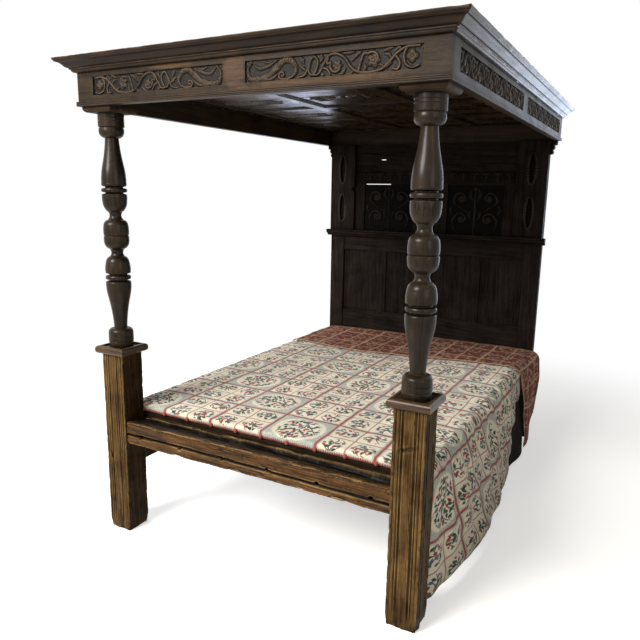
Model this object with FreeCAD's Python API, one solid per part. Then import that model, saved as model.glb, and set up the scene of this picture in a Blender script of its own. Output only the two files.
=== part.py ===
import FreeCAD, Part
import os
from FreeCAD import Vector

# Joined oak tester bed: two turned front posts on square pedestals and a panelled headboard carry a
# panelled tester with a carved frieze and a moulded cornice. Millimetres, +Z up, foot of the bed at -Y.
# The origin is on the floor under the middle of the tester.

# Plan of the bed
post_spacing = 1380.0
post_to_back = 2120.0

# Pedestals and their caps
pedestal_side = 120.0
pedestal_height = 832.0
pedestal_wear = 6.0
reed_groove_radius = 3.6
pedestal_groove_shares = (0.17, 0.27, 0.36, 0.64, 0.73, 0.83)
cap_thickness = 34.0
cap_overhang = 20.0
cap_rim = 17.0
cap_sink = 8.0
cap_round_share = 0.4

# Turned posts
post_height = 988.0
post_diameter = 106.0
post_block_height = 98.0
post_base_height = 88.0
post_dowel_diameter = 40.0
post_dowel_depth = 60.0
pad_dowel_share = 0.75

# Tester: corner pads, frieze boards, reeded moulding, cornice
pad_side = 155.0
pad_thickness = 22.0
pad_round_share = 0.75
frieze_overhang = 86.0
frieze_thickness = 26.0
frieze_field = 111.0
frieze_margin = 86.0
frieze_band = 20.0
carved_gap = 96.0
carved_sink = 7.0
reed_height = 18.0
reed_projection = 7.0
reed_bulge_share = 0.4
reed_count = 3
cornice_height = 53.0
cornice_projection = 67.0
back_rail_thickness = 30.0

# Soffit: a frame of three columns and four rows of panels, hung inside the frieze
soffit_rise = 98.0
soffit_thickness = 26.0
soffit_border = 44.0
soffit_muntin_width = 62.0
soffit_rail_width = 54.0
soffit_panel_thickness = 9.0
soffit_columns = 3
soffit_rows = 4

# Headboard
headboard_inset = 48.0
stile_width = 100.0
stile_thickness = 45.0
rail_thickness = 32.0
bottom_rail_height = 220.0
lower_field = 430.0
middle_rail_height = 120.0
top_rail_height = 258.0
lower_muntin_width = 60.0
lower_panel_count = 4
upper_side_muntin = 150.0
upper_middle_muntin = 230.0
panel_thickness = 12.0
broken_edge_length = 190.0
broken_edge_height = 12.0
rail_split_length = 44.0
rail_split_height = 7.0
ledge_height = 42.0
ledge_projection = 46.0
ledge_overhang = 20.0
pilaster_width = 180.0
pilaster_thickness = 18.0
pilaster_slot_width = 34.0
pilaster_scallop = 14.0
corbel_height = 78.0
corbel_reveal = 11.0

# Bedstock
foot_rail_height = 104.0
foot_rail_depth = 102.0
foot_rail_base = 428.0
foot_rail_wear = 9.0
rope_hole_diameter = 19.0
rope_hole_pitch = 222.0
rope_hole_count = 6
rope_groove_radius = 7.0
side_rail_thickness = 45.0
side_rail_height = 180.0
bed_base = 500.0
board_thickness = 20.0
board_count = 8
board_gap = 4.0
board_overhang = 25.0
foot_board_thickness = 28.0
foot_board_gap = 8.0
foot_board_bead = 6.0

# Joints
tenon_length = 36.0
tenon_thickness_share = 0.36
tenon_height_share = 0.62
stile_mortise_share = 0.6
pedestal_mortise_share = 0.7
tongue = 8.0
joint_clearance = 0.2
peg_diameter = 10.0
peg_proud = 2.0
peg_spread_share = 0.26
cut_overrun = 10.0

# Soft pieces
mattress_overhang = 35.0
mattress_thickness = 52.0
mattress_crown = 8.0
mattress_roll = 44.0
mattress_draw = 7.0
cloth_thickness = 4.0
cloth_clearance = 0.3
foot_hem = 14.0
coverlet_slack_left = 34.0
drop_clear_floor = 30.0
drop_flare = 88.0
throw_length = 536.0
throw_lap = 45.0
head_gap = 6.0
throw_tip_height = 64.0
throw_flare = 34.0

# Outlines of the post above and below its middle groove, as shares of the radius and of that height.
# Two numbers end a straight line; four give an arc's middle and its end.
post_upper_shares = (
    (0.925, 0.000),
    (0.985, 0.008),
    (1.005, 0.045, 0.970, 0.104),
    (0.900, 0.137, 0.740, 0.160),
    (0.640, 0.164),
    (0.460, 0.208, 0.570, 0.252),
    (0.650, 0.258),
    (0.850, 0.298, 0.955, 0.356),
    (0.980, 0.400, 0.965, 0.432),
    (0.700, 0.441),
    (0.700, 0.449),
    (0.960, 0.455),
    (1.000, 0.473, 0.960, 0.491),
    (0.700, 0.498),
    (0.700, 0.508),
    (0.900, 0.515),
    (0.950, 0.522, 0.970, 0.540),
    (0.930, 0.640, 0.800, 0.742),
    (0.635, 0.860, 0.525, 1.000),
)
post_lower_shares = (
    (0.925, 0.000),
    (0.985, 0.008),
    (1.000, 0.045, 0.950, 0.090),
    (0.860, 0.114, 0.700, 0.136),
    (0.620, 0.140),
    (0.465, 0.180, 0.570, 0.218),
    (0.650, 0.224),
    (0.830, 0.248, 0.940, 0.292),
    (1.000, 0.346, 0.985, 0.400),
    (0.720, 0.412),
    (0.720, 0.423),
    (0.955, 0.430),
    (1.000, 0.449, 0.955, 0.467),
    (0.720, 0.474),
    (0.720, 0.484),
    (0.930, 0.490),
    (0.982, 0.497, 1.000, 0.512),
    (0.966, 0.592, 0.860, 0.668),
    (0.665, 0.802, 0.520, 1.000),
)
# Cup and drum at the post's top, and ovolo and drum at its foot, as shares of the radius and their height
post_block_shares = (
    (0.640, 0.02),
    (0.860, 0.11, 0.965, 0.32),
    (0.950, 0.40),
    (0.900, 0.42),
    (0.900, 0.44),
    (0.995, 0.46),
    (1.000, 0.67),
    (0.970, 0.69),
    (1.000, 0.71),
    (1.000, 0.80),
    (0.970, 0.82),
    (1.000, 0.84),
    (1.000, 1.00),
)
post_base_shares = (
    (0.640, 0.03),
    (0.870, 0.08, 0.985, 0.22),
    (1.000, 0.42),
    (0.960, 0.44),
    (1.000, 0.46),
    (1.000, 0.66),
    (0.960, 0.68),
    (0.985, 0.70),
    (0.970, 1.00),
)
# Cornice section as shares of its projection and height
cornice_shares = (
    (0.10, 0.00),
    (0.20, 0.05, 0.24, 0.16),
    (0.24, 0.20),
    (0.33, 0.22),
    (0.33, 0.30),
    (0.52, 0.40, 0.84, 0.70),
    (0.91, 0.72),
    (0.91, 0.80),
    (0.98, 0.88, 1.00, 1.00),
    (0.00, 1.00),
)
# Ledge section as shares of its projection and height
ledge_shares = (
    (0.45, 0.00),
    (0.47, 0.20, 0.62, 0.34),
    (0.70, 0.34),
    (0.92, 0.50, 0.86, 0.76),
    (1.00, 0.76),
    (1.00, 1.00),
    (0.00, 1.00),
)
# Corbel outline as shares of its projection and height, from its foot up
corbel_shares = (
    (0.25, 0.00),
    (0.50, 0.16, 0.30, 0.32),
    (0.66, 0.50, 0.55, 0.66),
    (1.00, 0.72),
    (1.00, 1.00),
    (0.00, 1.00),
)
# Outline of a pierced slot as shares of its half width and half height, from its upper right end
slot_shares = (
    (0.55, 0.91),
    (1.00, 0.00, 0.55, -0.91),
    (0.00, -1.00, -0.55, -0.91),
    (-1.00, 0.00, -0.55, 0.91),
    (0.00, 1.00, 0.55, 0.91),
)
# Hem of the coverlet's drop from the foot end: share of its length, share of its flare
hem_shares = (
    (0.00, 0.10),
    (0.12, 0.20),
    (0.22, 0.52),
    (0.35, 0.98),
    (0.47, 0.80),
    (0.58, 0.88),
    (0.70, 0.55),
    (0.86, 0.22),
    (1.00, 0.16),
)
drop_skew_share = 0.10
# Hem of the throw's hanging corner from its tip: share of its length, share of its flare
throw_hem_shares = (
    (0.14, 0.60),
    (0.26, 0.95),
    (0.42, 0.70),
    (0.62, 1.00),
    (0.86, 0.45),
)
throw_climb_share = 0.62
slot_height_share = 0.30
slot_place_shares = (0.26, 0.72)
scallop_place_share = 0.49
rail_split_place_share = 0.36
rail_split_height_share = 0.62

# Worked-out places in plan
half_spacing = post_spacing / 2
half_frieze = half_spacing + frieze_overhang
overall_depth = cornice_projection + frieze_overhang + post_to_back
y_back = overall_depth / 2
y_post = y_back - post_to_back
y_frieze = y_post - frieze_overhang
y_pedestal_back = y_post + pedestal_side / 2
half_headboard = half_frieze - headboard_inset
y_stile = y_back - stile_thickness
y_rail = y_back - (stile_thickness + rail_thickness) / 2

# Worked-out levels
z_cap_top = pedestal_height + cap_thickness
z_seat = z_cap_top - cap_sink
z_pad = z_seat + post_height
z_frieze = z_pad + pad_thickness
z_field = z_frieze + reed_height
z_cornice = z_field + frieze_field
z_top = z_cornice + cornice_height
z_soffit = z_frieze + soffit_rise
z_boards = bed_base + board_thickness
z_mattress = z_boards + cloth_clearance
z_edge = z_mattress + mattress_thickness
z_lower = bed_base + bottom_rail_height
z_middle = z_lower + lower_field
z_upper = z_middle + middle_rail_height
z_top_rail = z_frieze - top_rail_height
z_ledge = z_upper - ledge_height / 2

# Worked-out bedstock and soft places
half_boards = half_spacing - pedestal_side / 2 + side_rail_thickness + board_overhang
mattress_half_width = half_boards + mattress_overhang
y_foot_board = y_pedestal_back + foot_board_gap
y_boards = y_foot_board + foot_board_thickness
y_coverlet = y_foot_board - cloth_clearance - cloth_thickness
y_throw_back = y_stile - head_gap
y_throw = y_throw_back - throw_length
coverlet_length = y_throw + throw_lap - y_coverlet
roll_centre_x = mattress_half_width - mattress_roll
roll_centre_z = z_edge - mattress_roll
throw_lift = cloth_clearance + cloth_thickness


def block(low, high, grow=0.0):
    """Box between two corners, grown on every side."""
    margin = Vector(grow, grow, grow)
    size = high - low + margin * 2
    return Part.makeBox(size.x, size.y, size.z, low - margin)


def outline(start, steps):
    """Wire from a start point through line ends and (arc middle, arc end) pairs."""
    edges = []
    here = start
    for step in steps:
        if isinstance(step, tuple):
            middle, there = step
            edges.append(Part.Arc(here, middle, there).toShape())
        else:
            there = step
            edges.append(Part.LineSegment(here, there).toShape())
        here = there
    return Part.Wire(edges)


def shared_steps(shares, place):
    """Turn rows of shares into outline steps with a function that places one pair of shares."""
    steps = []
    for row in shares:
        end = place(row[-2], row[-1])
        steps.append(end if len(row) == 2 else (place(row[0], row[1]), end))
    return steps


def solid_from(wire, along):
    """Closed flat wire carried along a vector."""
    return Part.Face(wire).extrude(along)


def flat_prism(corners, along):
    """Polygon through corner points carried along a vector."""
    return solid_from(Part.makePolygon(corners + corners[:1]), along)


def cut_all(shape, tools):
    """Shape less every tool."""
    return shape.cut(tools) if tools else shape


def group(shapes):
    """Separate solids kept in one node."""
    return Part.makeCompound(shapes)


def mirrored(shape):
    """The same piece on the other side of the bed."""
    return shape.mirror(Vector(0, 0, 0), Vector(1, 0, 0))


def both_sides(name, right_piece):
    """A right-hand piece and its mirror image under their names."""
    return {name + "_right": right_piece, name + "_left": mirrored(right_piece)}


def middle_share(low, high, share):
    """Ends of a centred stretch that takes a share of a longer one."""
    middle = (low + high) / 2
    half = (high - low) * share / 2
    return middle - half, middle + half


# Turned posts, caps, pedestals and pads


def post_profile():
    """Half outline of a turned post in the XZ plane, its foot on z = 0."""
    radius = post_diameter / 2
    half = (post_height - post_block_height - post_base_height) / 2
    middle = post_base_height + half
    top = middle + half

    def above(share_r, share_h):
        return Vector(radius * share_r, 0, middle + half * share_h)

    def below(share_r, share_h):
        return Vector(radius * share_r, 0, middle - half * share_h)

    def drum(share_r, share_h):
        return Vector(radius * share_r, 0, top + post_block_height * share_h)

    def foot(share_r, share_h):
        return Vector(radius * share_r, 0, post_base_height * (1 - share_h))

    upper = shared_steps(post_upper_shares, above) + shared_steps(post_block_shares, drum)
    lower = shared_steps(post_lower_shares, below) + shared_steps(post_base_shares, foot)
    upper_wire = outline(upper[0], upper[1:] + [Vector(0, 0, post_height), Vector(0, 0, middle), upper[0]])
    lower_wire = outline(lower[0], lower[1:] + [Vector(0, 0, 0), Vector(0, 0, middle), lower[0]])
    return upper_wire, lower_wire


def post_dowels(grow=0.0):
    """Round dowels at the post's foot and head, in the post's own frame."""
    radius = post_dowel_diameter / 2 + grow
    below = cap_thickness - cap_sink + post_dowel_depth + grow
    above = pad_thickness * pad_dowel_share + grow
    foot = Part.makeCylinder(radius, below, Vector(0, 0, -below))
    head = Part.makeCylinder(radius, above, Vector(0, 0, post_height))
    return foot, head


def post_place():
    """Where the right post's foot stands."""
    return Vector(half_spacing, y_post, z_seat)


def turned_post():
    """Post turned about its own axis, with its dowels."""
    halves = [Part.Face(wire).revolve(Vector(0, 0, 0), Vector(0, 0, 1)) for wire in post_profile()]
    post = halves[0].fuse([halves[1], *post_dowels()]).removeSplitter()
    return post.translated(post_place())


def dowel_holes():
    """Space for the right post's dowels."""
    return [dowel.translated(post_place()) for dowel in post_dowels(joint_clearance)]


def pedestal():
    """Square pedestal with worn foot edges, reeds on its front and outer faces, and its mortises."""
    low = Vector(half_spacing - pedestal_side / 2, y_post - pedestal_side / 2, 0)
    high = Vector(half_spacing + pedestal_side / 2, y_pedestal_back, pedestal_height)
    body = block(low, high)
    foot_edges = [edge for edge in body.Edges if edge.BoundBox.ZMax < pedestal_wear]
    body = body.makeChamfer(pedestal_wear, foot_edges)
    grooves = []
    for share in pedestal_groove_shares:
        front = Vector(low.x + pedestal_side * share, low.y, 0)
        outer = Vector(high.x, low.y + pedestal_side * share, 0)
        for place in (front, outer):
            grooves.append(Part.makeCylinder(reed_groove_radius, pedestal_height, place))
    mortises = [foot_rail_tenon(joint_clearance), side_rail_tenons(joint_clearance)[0]]
    return cut_all(body, grooves + mortises + dowel_holes()[:1])


def pedestal_cap():
    """Square cap with a rounded rim round a sunk top, where the post stands."""
    reach = pedestal_side / 2 + cap_overhang
    centre = Vector(half_spacing, y_post, 0)
    body = block(
        centre + Vector(-reach, -reach, pedestal_height), centre + Vector(reach, reach, z_cap_top)
    )
    rim = [edge for edge in body.Edges if edge.BoundBox.ZLength < cap_thickness / 2]
    body = body.makeFillet(cap_thickness * cap_round_share, rim)
    inner = reach - cap_rim
    sunk = block(
        centre + Vector(-inner, -inner, z_seat), centre + Vector(inner, inner, z_cap_top + cut_overrun)
    )
    return cut_all(body, [sunk] + dowel_holes()[:1])


def corner_pad():
    """Square pad between post and frieze, its lower edges rounded."""
    reach = pad_side / 2
    centre = Vector(half_spacing, y_post, 0)
    body = block(centre + Vector(-reach, -reach, z_pad), centre + Vector(reach, reach, z_frieze))
    lower = [edge for edge in body.Edges if edge.BoundBox.ZMax < z_pad + pad_thickness / 2]
    body = body.makeFillet(pad_thickness * pad_round_share, lower)
    return cut_all(body, dowel_holes()[1:])


# Tester


def side_plan(reach, low, high):
    """Plan of the right-hand moulding, mitred to the front one: reach outside the frieze."""
    corners = [
        Vector(half_frieze, y_frieze, low),
        Vector(half_frieze + reach, y_frieze - reach, low),
        Vector(half_frieze + reach, y_back, low),
        Vector(half_frieze, y_back, low),
    ]
    return flat_prism(corners, Vector(0, 0, high - low))


def front_plan(reach, low, high):
    """Plan of the front moulding with a mitre at both ends."""
    corners = [
        Vector(-half_frieze, y_frieze, low),
        Vector(-half_frieze - reach, y_frieze - reach, low),
        Vector(half_frieze + reach, y_frieze - reach, low),
        Vector(half_frieze, y_frieze, low),
    ]
    return flat_prism(corners, Vector(0, 0, high - low))


def mouldings(name, steps_for, reach, low, high):
    """A moulding's front and side runs from one section, drawn by a function of (out, up)."""
    length = 2 * (half_frieze + reach)
    front_start = Vector(-half_frieze - reach, y_frieze, low)
    front_wire = steps_for(lambda out, up: front_start + Vector(0, -out, up))
    front = solid_from(front_wire, Vector(length, 0, 0)).common(front_plan(reach, low, high))
    side_start = Vector(half_frieze, y_frieze - reach, low)
    side_wire = steps_for(lambda out, up: side_start + Vector(out, 0, up))
    side_length = y_back - y_frieze + reach
    side = solid_from(side_wire, Vector(0, side_length, 0)).common(side_plan(reach, low, high))
    return {name + "_front": front, **both_sides(name, side)}


def cornices():
    """Crown moulding round the front and sides."""
    def section(place):
        def scaled(share_out, share_up):
            return place(cornice_projection * share_out, cornice_height * share_up)

        start = scaled(0, 0)
        return outline(start, shared_steps(cornice_shares, scaled) + [start])

    return mouldings("cornice", section, cornice_projection, z_cornice, z_top)


def reeded_mouldings():
    """Small reeds side by side along the frieze's lower edge."""
    pitch = reed_height / reed_count
    root = reed_projection - pitch * reed_bulge_share

    def section(place):
        steps = [place(root, 0)]
        for index in range(reed_count):
            foot = index * pitch
            steps.append((place(reed_projection, foot + pitch / 2), place(root, foot + pitch)))
        return outline(place(0, 0), steps + [place(0, reed_height), place(0, 0)])

    return mouldings("reeded_moulding", section, reed_projection, z_frieze, z_field)


def carved_sinking(start, end, face):
    """Sunk panel in a frieze board: a start and an end along it, on a face drawn as a function."""
    low = z_field + frieze_band
    high = z_cornice - frieze_band
    return block(face(start, 0, low), face(end, 1, high))


def friezes():
    """Front board across the tester, and side boards butted behind it, each with two sunk panels."""
    front_half = half_frieze - frieze_margin
    inner = carved_gap / 2
    front_low = Vector(-half_frieze, y_frieze, z_frieze)
    front_high = Vector(half_frieze, y_frieze + frieze_thickness, z_top)

    def front_face(along, depth, level):
        return Vector(along, y_frieze - cut_overrun + depth * (cut_overrun + carved_sink), level)

    def side_face(along, depth, level):
        return Vector(half_frieze - carved_sink + depth * (carved_sink + cut_overrun), along, level)

    front_spans = ((-front_half, -inner), (inner, front_half))
    front_sinkings = [carved_sinking(*span, front_face) for span in front_spans]
    front = cut_all(block(front_low, front_high), front_sinkings)
    side_start = y_frieze + frieze_margin
    side_end = y_back - frieze_margin
    side_middle = (side_start + side_end) / 2
    side_spans = ((side_start, side_middle - inner), (side_middle + inner, side_end))
    side_low = Vector(half_frieze - frieze_thickness, y_frieze + frieze_thickness, z_frieze)
    side_high = Vector(half_frieze, y_back, z_top)
    side_sinkings = [carved_sinking(*span, side_face) for span in side_spans]
    side = cut_all(block(side_low, side_high), side_sinkings)
    return {"frieze_front": front, **both_sides("frieze", side)}


def tester_back_rail():
    """Plain rail across the back of the tester, standing on the headboard."""
    half = half_frieze - frieze_thickness
    low = Vector(-half, y_back - back_rail_thickness, z_frieze)
    return block(low, Vector(half, y_back, z_cornice))


# Soffit


def even_openings(start, end, bar, count):
    """Equal openings between bars: list of (start, end)."""
    opening = (end - start - bar * (count - 1)) / count
    starts = [start + index * (opening + bar) for index in range(count)]
    return [(place, place + opening) for place in starts]


def soffit_grid():
    """Openings of the soffit frame along X and along Y."""
    half = half_frieze - frieze_thickness - soffit_border
    near = y_frieze + frieze_thickness + soffit_border
    far = y_back - back_rail_thickness - soffit_border
    columns = even_openings(-half, half, soffit_muntin_width, soffit_columns)
    rows = even_openings(near, far, soffit_rail_width, soffit_rows)
    return columns, rows


def soffit_levels(thickness):
    """Lowest and highest level of a board of this thickness in the middle of the soffit frame."""
    middle = z_soffit + soffit_thickness / 2
    return middle - thickness / 2, middle + thickness / 2


def soffit_panel(column, row, grow=0.0):
    """One panel with its edges in the frame's grooves."""
    low, high = soffit_levels(soffit_panel_thickness)
    edge = tongue - joint_clearance
    near = Vector(column[0] - edge, row[0] - edge, low)
    far = Vector(column[1] + edge, row[1] + edge, high)
    return block(near, far, grow)


def soffit_tongue_y(column_gap, start, end, grow=0.0):
    """Stub tenons at both ends of a muntin that runs along Y."""
    low, high = soffit_levels(soffit_panel_thickness)
    edge = tongue - joint_clearance
    near = Vector(column_gap[0] + tongue, start - edge, low)
    far = Vector(column_gap[1] - tongue, end + edge, high)
    return block(near, far, grow)


def soffit_tongue_x(column, row_gap, grow=0.0):
    """Stub tenons at both ends of a cross rail that runs along X."""
    low, high = soffit_levels(soffit_panel_thickness)
    edge = tongue - joint_clearance
    near = Vector(column[0] - edge, row_gap[0] + tongue, low)
    far = Vector(column[1] + edge, row_gap[1] - tongue, high)
    return block(near, far, grow)


def gaps_between(openings):
    """Stretches between neighbouring openings."""
    return [(left[1], right[0]) for left, right in zip(openings, openings[1:])]


def soffit():
    """Frame of rails, stiles, muntins and cross rails, grooved for twelve panels."""
    columns, rows = soffit_grid()
    start = rows[0][0]
    end = rows[-1][1]
    left = columns[0][0]
    right = columns[-1][1]
    low, high = soffit_levels(soffit_thickness)
    muntin_gaps = gaps_between(columns)
    rail_gaps = gaps_between(rows)

    def board(x_span, y_span):
        return block(Vector(x_span[0], y_span[0], low), Vector(x_span[1], y_span[1], high))

    grooves = [soffit_panel(column, row, joint_clearance) for column in columns for row in rows]
    muntin_mortises = [soffit_tongue_y(gap, start, end, joint_clearance) for gap in muntin_gaps]
    rail_places = [(column, gap) for column in columns for gap in rail_gaps]
    rail_mortises = [soffit_tongue_x(*place, joint_clearance) for place in rail_places]
    outer = (left - soffit_border, right + soffit_border)
    along_x = grooves + muntin_mortises
    along_y = grooves + rail_mortises
    nodes = {
        "soffit_front_rail": cut_all(board(outer, (start - soffit_border, start)), along_x),
        "soffit_back_rail": cut_all(board(outer, (end, end + soffit_border)), along_x),
        "soffit_stile_left": cut_all(board((outer[0], left), (start, end)), along_y),
        "soffit_stile_right": cut_all(board((right, outer[1]), (start, end)), along_y),
    }
    for name, gap in zip(("left", "right"), muntin_gaps):
        muntin = cut_all(board(gap, (start, end)), along_y)
        nodes["soffit_muntin_" + name] = muntin.fuse(soffit_tongue_y(gap, start, end)).removeSplitter()
    cross_rails = []
    for place in rail_places:
        rail = cut_all(board(*place), grooves)
        cross_rails.append(rail.fuse(soffit_tongue_x(*place)).removeSplitter())
    nodes["soffit_cross_rails"] = group(cross_rails)
    for name, column in zip(("left", "middle", "right"), columns):
        nodes["soffit_panels_" + name] = group([soffit_panel(column, row) for row in rows])
    return nodes


# Headboard


def headboard_rail_levels():
    """Lowest and highest level of each headboard rail."""
    return {
        "headboard_bottom_rail": (bed_base, z_lower),
        "headboard_middle_rail": (z_middle, z_upper),
        "headboard_top_rail": (z_top_rail, z_frieze),
    }


def headboard_tenon(levels, grow=0.0):
    """Tenon of a headboard rail in both stiles."""
    half = half_headboard - stile_width + tenon_length
    low_z, high_z = middle_share(*levels, tenon_height_share)
    near_y, far_y = middle_share(y_rail, y_rail + rail_thickness, tenon_thickness_share)
    return block(Vector(-half, near_y, low_z), Vector(half, far_y, high_z), grow)


def headboard_pegs(grow=0.0):
    """Two pegs through each stile and tenon, a little proud in front."""
    radius = peg_diameter / 2 + grow
    length = stile_thickness + peg_proud
    pegs = []
    for levels in headboard_rail_levels().values():
        low_z, high_z = middle_share(*levels, peg_spread_share)
        for side in (-1, 1):
            x = side * (half_headboard - stile_width + tenon_length / 2)
            for z in (low_z, high_z):
                place = Vector(x, y_stile - peg_proud, z)
                pegs.append(Part.makeCylinder(radius, length, place, Vector(0, 1, 0)))
    return pegs


def lower_openings():
    """Openings of the four plain panels along X."""
    half = half_headboard - stile_width
    return even_openings(-half, half, lower_muntin_width, lower_panel_count)


def upper_openings():
    """Openings of the two carved panels along X."""
    outer = half_headboard - stile_width - upper_side_muntin
    inner = upper_middle_muntin / 2
    return [(-outer, -inner), (inner, outer)]


def headboard_panel(x_span, z_span, grow=0.0):
    """Panel with its edges in the frame's grooves."""
    edge = tongue - joint_clearance
    near_y, far_y = middle_share(y_rail, y_rail + rail_thickness, panel_thickness / rail_thickness)
    low = Vector(x_span[0] - edge, near_y, z_span[0] - edge)
    high = Vector(x_span[1] + edge, far_y, z_span[1] + edge)
    return block(low, high, grow)


def broken_edge(x_span, z_span):
    """Stretch of the left carved panel's top edge that has broken away and lets light through."""
    low = Vector(x_span[0] - tongue, y_rail, z_span[1] - broken_edge_height)
    high = Vector(x_span[0] + broken_edge_length, y_rail + rail_thickness, z_span[1] + tongue)
    return block(low, high)


def rail_split():
    """Short split right through the top rail, over the left carved panel."""
    start, end = upper_openings()[0]
    middle = start + (end - start) * rail_split_place_share
    level = z_top_rail + (z_frieze - z_top_rail) * rail_split_height_share
    low = Vector(middle - rail_split_length / 2, y_rail, level - rail_split_height / 2)
    high = Vector(middle + rail_split_length / 2, y_rail + rail_thickness, level + rail_split_height / 2)
    return block(low, high)


def headboard_board(x_span, z_span):
    """Frame member of the headboard between its stiles."""
    low = Vector(x_span[0], y_rail, z_span[0])
    return block(low, Vector(x_span[1], y_rail + rail_thickness, z_span[1]))


def headboard_tongue(x_span, z_span, grow=0.0):
    """Stub tenons at both ends of a headboard muntin."""
    edge = tongue - joint_clearance
    near_y, far_y = middle_share(y_rail, y_rail + rail_thickness, tenon_thickness_share)
    low = Vector(x_span[0] + tongue, near_y, z_span[0] - edge)
    high = Vector(x_span[1] - tongue, far_y, z_span[1] + edge)
    return block(low, high, grow)


def headboard_fields():
    """Panel openings and muntins of the lower and upper fields, by node name."""
    lower_z = (z_lower, z_middle)
    upper_z = (z_upper, z_top_rail)
    lower = lower_openings()
    upper = upper_openings()
    inner = half_headboard - stile_width
    panels = {"lower_panel_%d" % number: (span, lower_z) for number, span in enumerate(lower, 1)}
    panels["carved_panel_left"] = (upper[0], upper_z)
    panels["carved_panel_right"] = (upper[1], upper_z)
    muntins = {}
    for name, gap in zip(("left", "middle", "right"), gaps_between(lower)):
        muntins["lower_muntin_" + name] = (gap, lower_z)
    uprights = ((-inner, upper[0][0]), (upper[0][1], upper[1][0]), (upper[1][1], inner))
    for name, gap in zip(("left", "middle", "right"), uprights):
        muntins["upper_muntin_" + name] = (gap, upper_z)
    return panels, muntins


def headboard_frame():
    """Stiles, rails, muntins and panels of the headboard, and the pegs of its joints."""
    panels, muntins = headboard_fields()
    inner = half_headboard - stile_width
    grooves = [headboard_panel(*place, grow=joint_clearance) for place in panels.values()]
    mortises = [headboard_tongue(*place, grow=joint_clearance) for place in muntins.values()]
    peg_holes = headboard_pegs(joint_clearance)
    nodes = {"headboard_pegs": group(headboard_pegs())}
    rail_mortises = []
    for name, levels in headboard_rail_levels().items():
        rail = headboard_board((-inner, inner), levels)
        rail = cut_all(rail, grooves + mortises).fuse(headboard_tenon(levels)).removeSplitter()
        nodes[name] = cut_all(rail, peg_holes + [rail_split()])
        rail_mortises.append(headboard_tenon(levels, joint_clearance))
    for name, place in muntins.items():
        upright = cut_all(headboard_board(*place), grooves)
        nodes[name] = upright.fuse(headboard_tongue(*place)).removeSplitter()
    for name, place in panels.items():
        nodes[name] = headboard_panel(*place)
    broken = broken_edge(*panels["carved_panel_left"])
    nodes["carved_panel_left"] = nodes["carved_panel_left"].cut(broken)
    stile = block(Vector(inner, y_stile, 0), Vector(half_headboard, y_back, z_frieze))
    side_mortise = side_rail_tenons(joint_clearance)[1]
    stile = cut_all(stile, grooves + rail_mortises + peg_holes + [side_mortise])
    nodes.update(both_sides("headboard_stile", stile))
    return nodes


def headboard_ledge():
    """Moulded ledge across the headboard, between its plain and its carved fields."""
    half = half_headboard + ledge_overhang
    start = Vector(-half, y_stile, z_ledge)

    def place(share_out, share_up):
        return start + Vector(0, -ledge_projection * share_out, ledge_height * share_up)

    section = outline(start, shared_steps(ledge_shares, place) + [start])
    return cut_all(solid_from(section, Vector(2 * half, 0, 0)), headboard_pegs(joint_clearance))


def pilaster():
    """Pierced and scalloped board on the front of the stile, from the ledge to the tester."""
    low = Vector(half_headboard - pilaster_width, y_stile - pilaster_thickness, z_ledge + ledge_height)
    high = Vector(half_headboard, y_stile, z_frieze)
    height = high.z - low.z
    body = block(low, high)
    through = Vector(0, pilaster_thickness + 2 * cut_overrun, 0)
    near_y = low.y - cut_overrun
    cuts = []
    for share in slot_place_shares:
        centre = Vector((low.x + high.x) / 2, near_y, low.z + height * share)
        corner = Vector(pilaster_slot_width / 2, 0, height * slot_height_share / 2)
        steps = shared_steps(slot_shares, lambda x, z: centre + Vector(corner.x * x, 0, corner.z * z))
        cuts.append(solid_from(outline(steps[0], steps[1:]), through))
    place = Vector(low.x, near_y, low.z + height * scallop_place_share)
    cuts.append(Part.makeCylinder(pilaster_scallop, through.y, place, Vector(0, 1, 0)))
    return cut_all(body, cuts + headboard_pegs(joint_clearance))


def corbel():
    """Stepped bracket on the stile's outer edge, under the side frieze."""
    reach = headboard_inset - corbel_reveal
    start = Vector(half_headboard, y_stile, z_frieze - corbel_height)

    def place(share_out, share_up):
        return start + Vector(reach * share_out, 0, corbel_height * share_up)

    section = outline(start, shared_steps(corbel_shares, place) + [start])
    return solid_from(section, Vector(0, stile_thickness, 0))


# Bedstock


def foot_rail_tenon(grow=0.0):
    """Tenon of the foot rail in both pedestals."""
    half = half_spacing - pedestal_side / 2 + tenon_length
    front = y_post - foot_rail_depth / 2
    near, far = middle_share(front, front + foot_rail_depth, tenon_thickness_share)
    low, high = middle_share(foot_rail_base, foot_rail_base + foot_rail_height, tenon_height_share)
    return block(Vector(-half, near, low), Vector(half, far, high), grow)


def foot_rail():
    """Heavy rail between the pedestals, its arrises worn, with a rope groove and rope holes."""
    half = half_spacing - pedestal_side / 2
    near = y_post - foot_rail_depth / 2
    high = foot_rail_base + foot_rail_height
    body = block(Vector(-half, near, foot_rail_base), Vector(half, near + foot_rail_depth, high))
    arrises = [edge for edge in body.Edges if edge.BoundBox.XLength > half]
    body = body.makeFillet(foot_rail_wear, arrises)
    middle = foot_rail_base + foot_rail_height / 2
    cuts = [Part.makeCylinder(rope_groove_radius, 2 * half, Vector(-half, near, middle), Vector(1, 0, 0))]
    first = -rope_hole_pitch * (rope_hole_count - 1) / 2
    for index in range(rope_hole_count):
        place = Vector(first + index * rope_hole_pitch, near - cut_overrun, middle)
        length = foot_rail_depth + 2 * cut_overrun
        cuts.append(Part.makeCylinder(rope_hole_diameter / 2, length, place, Vector(0, 1, 0)))
    return cut_all(body.fuse(foot_rail_tenon()).removeSplitter(), cuts)


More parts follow.
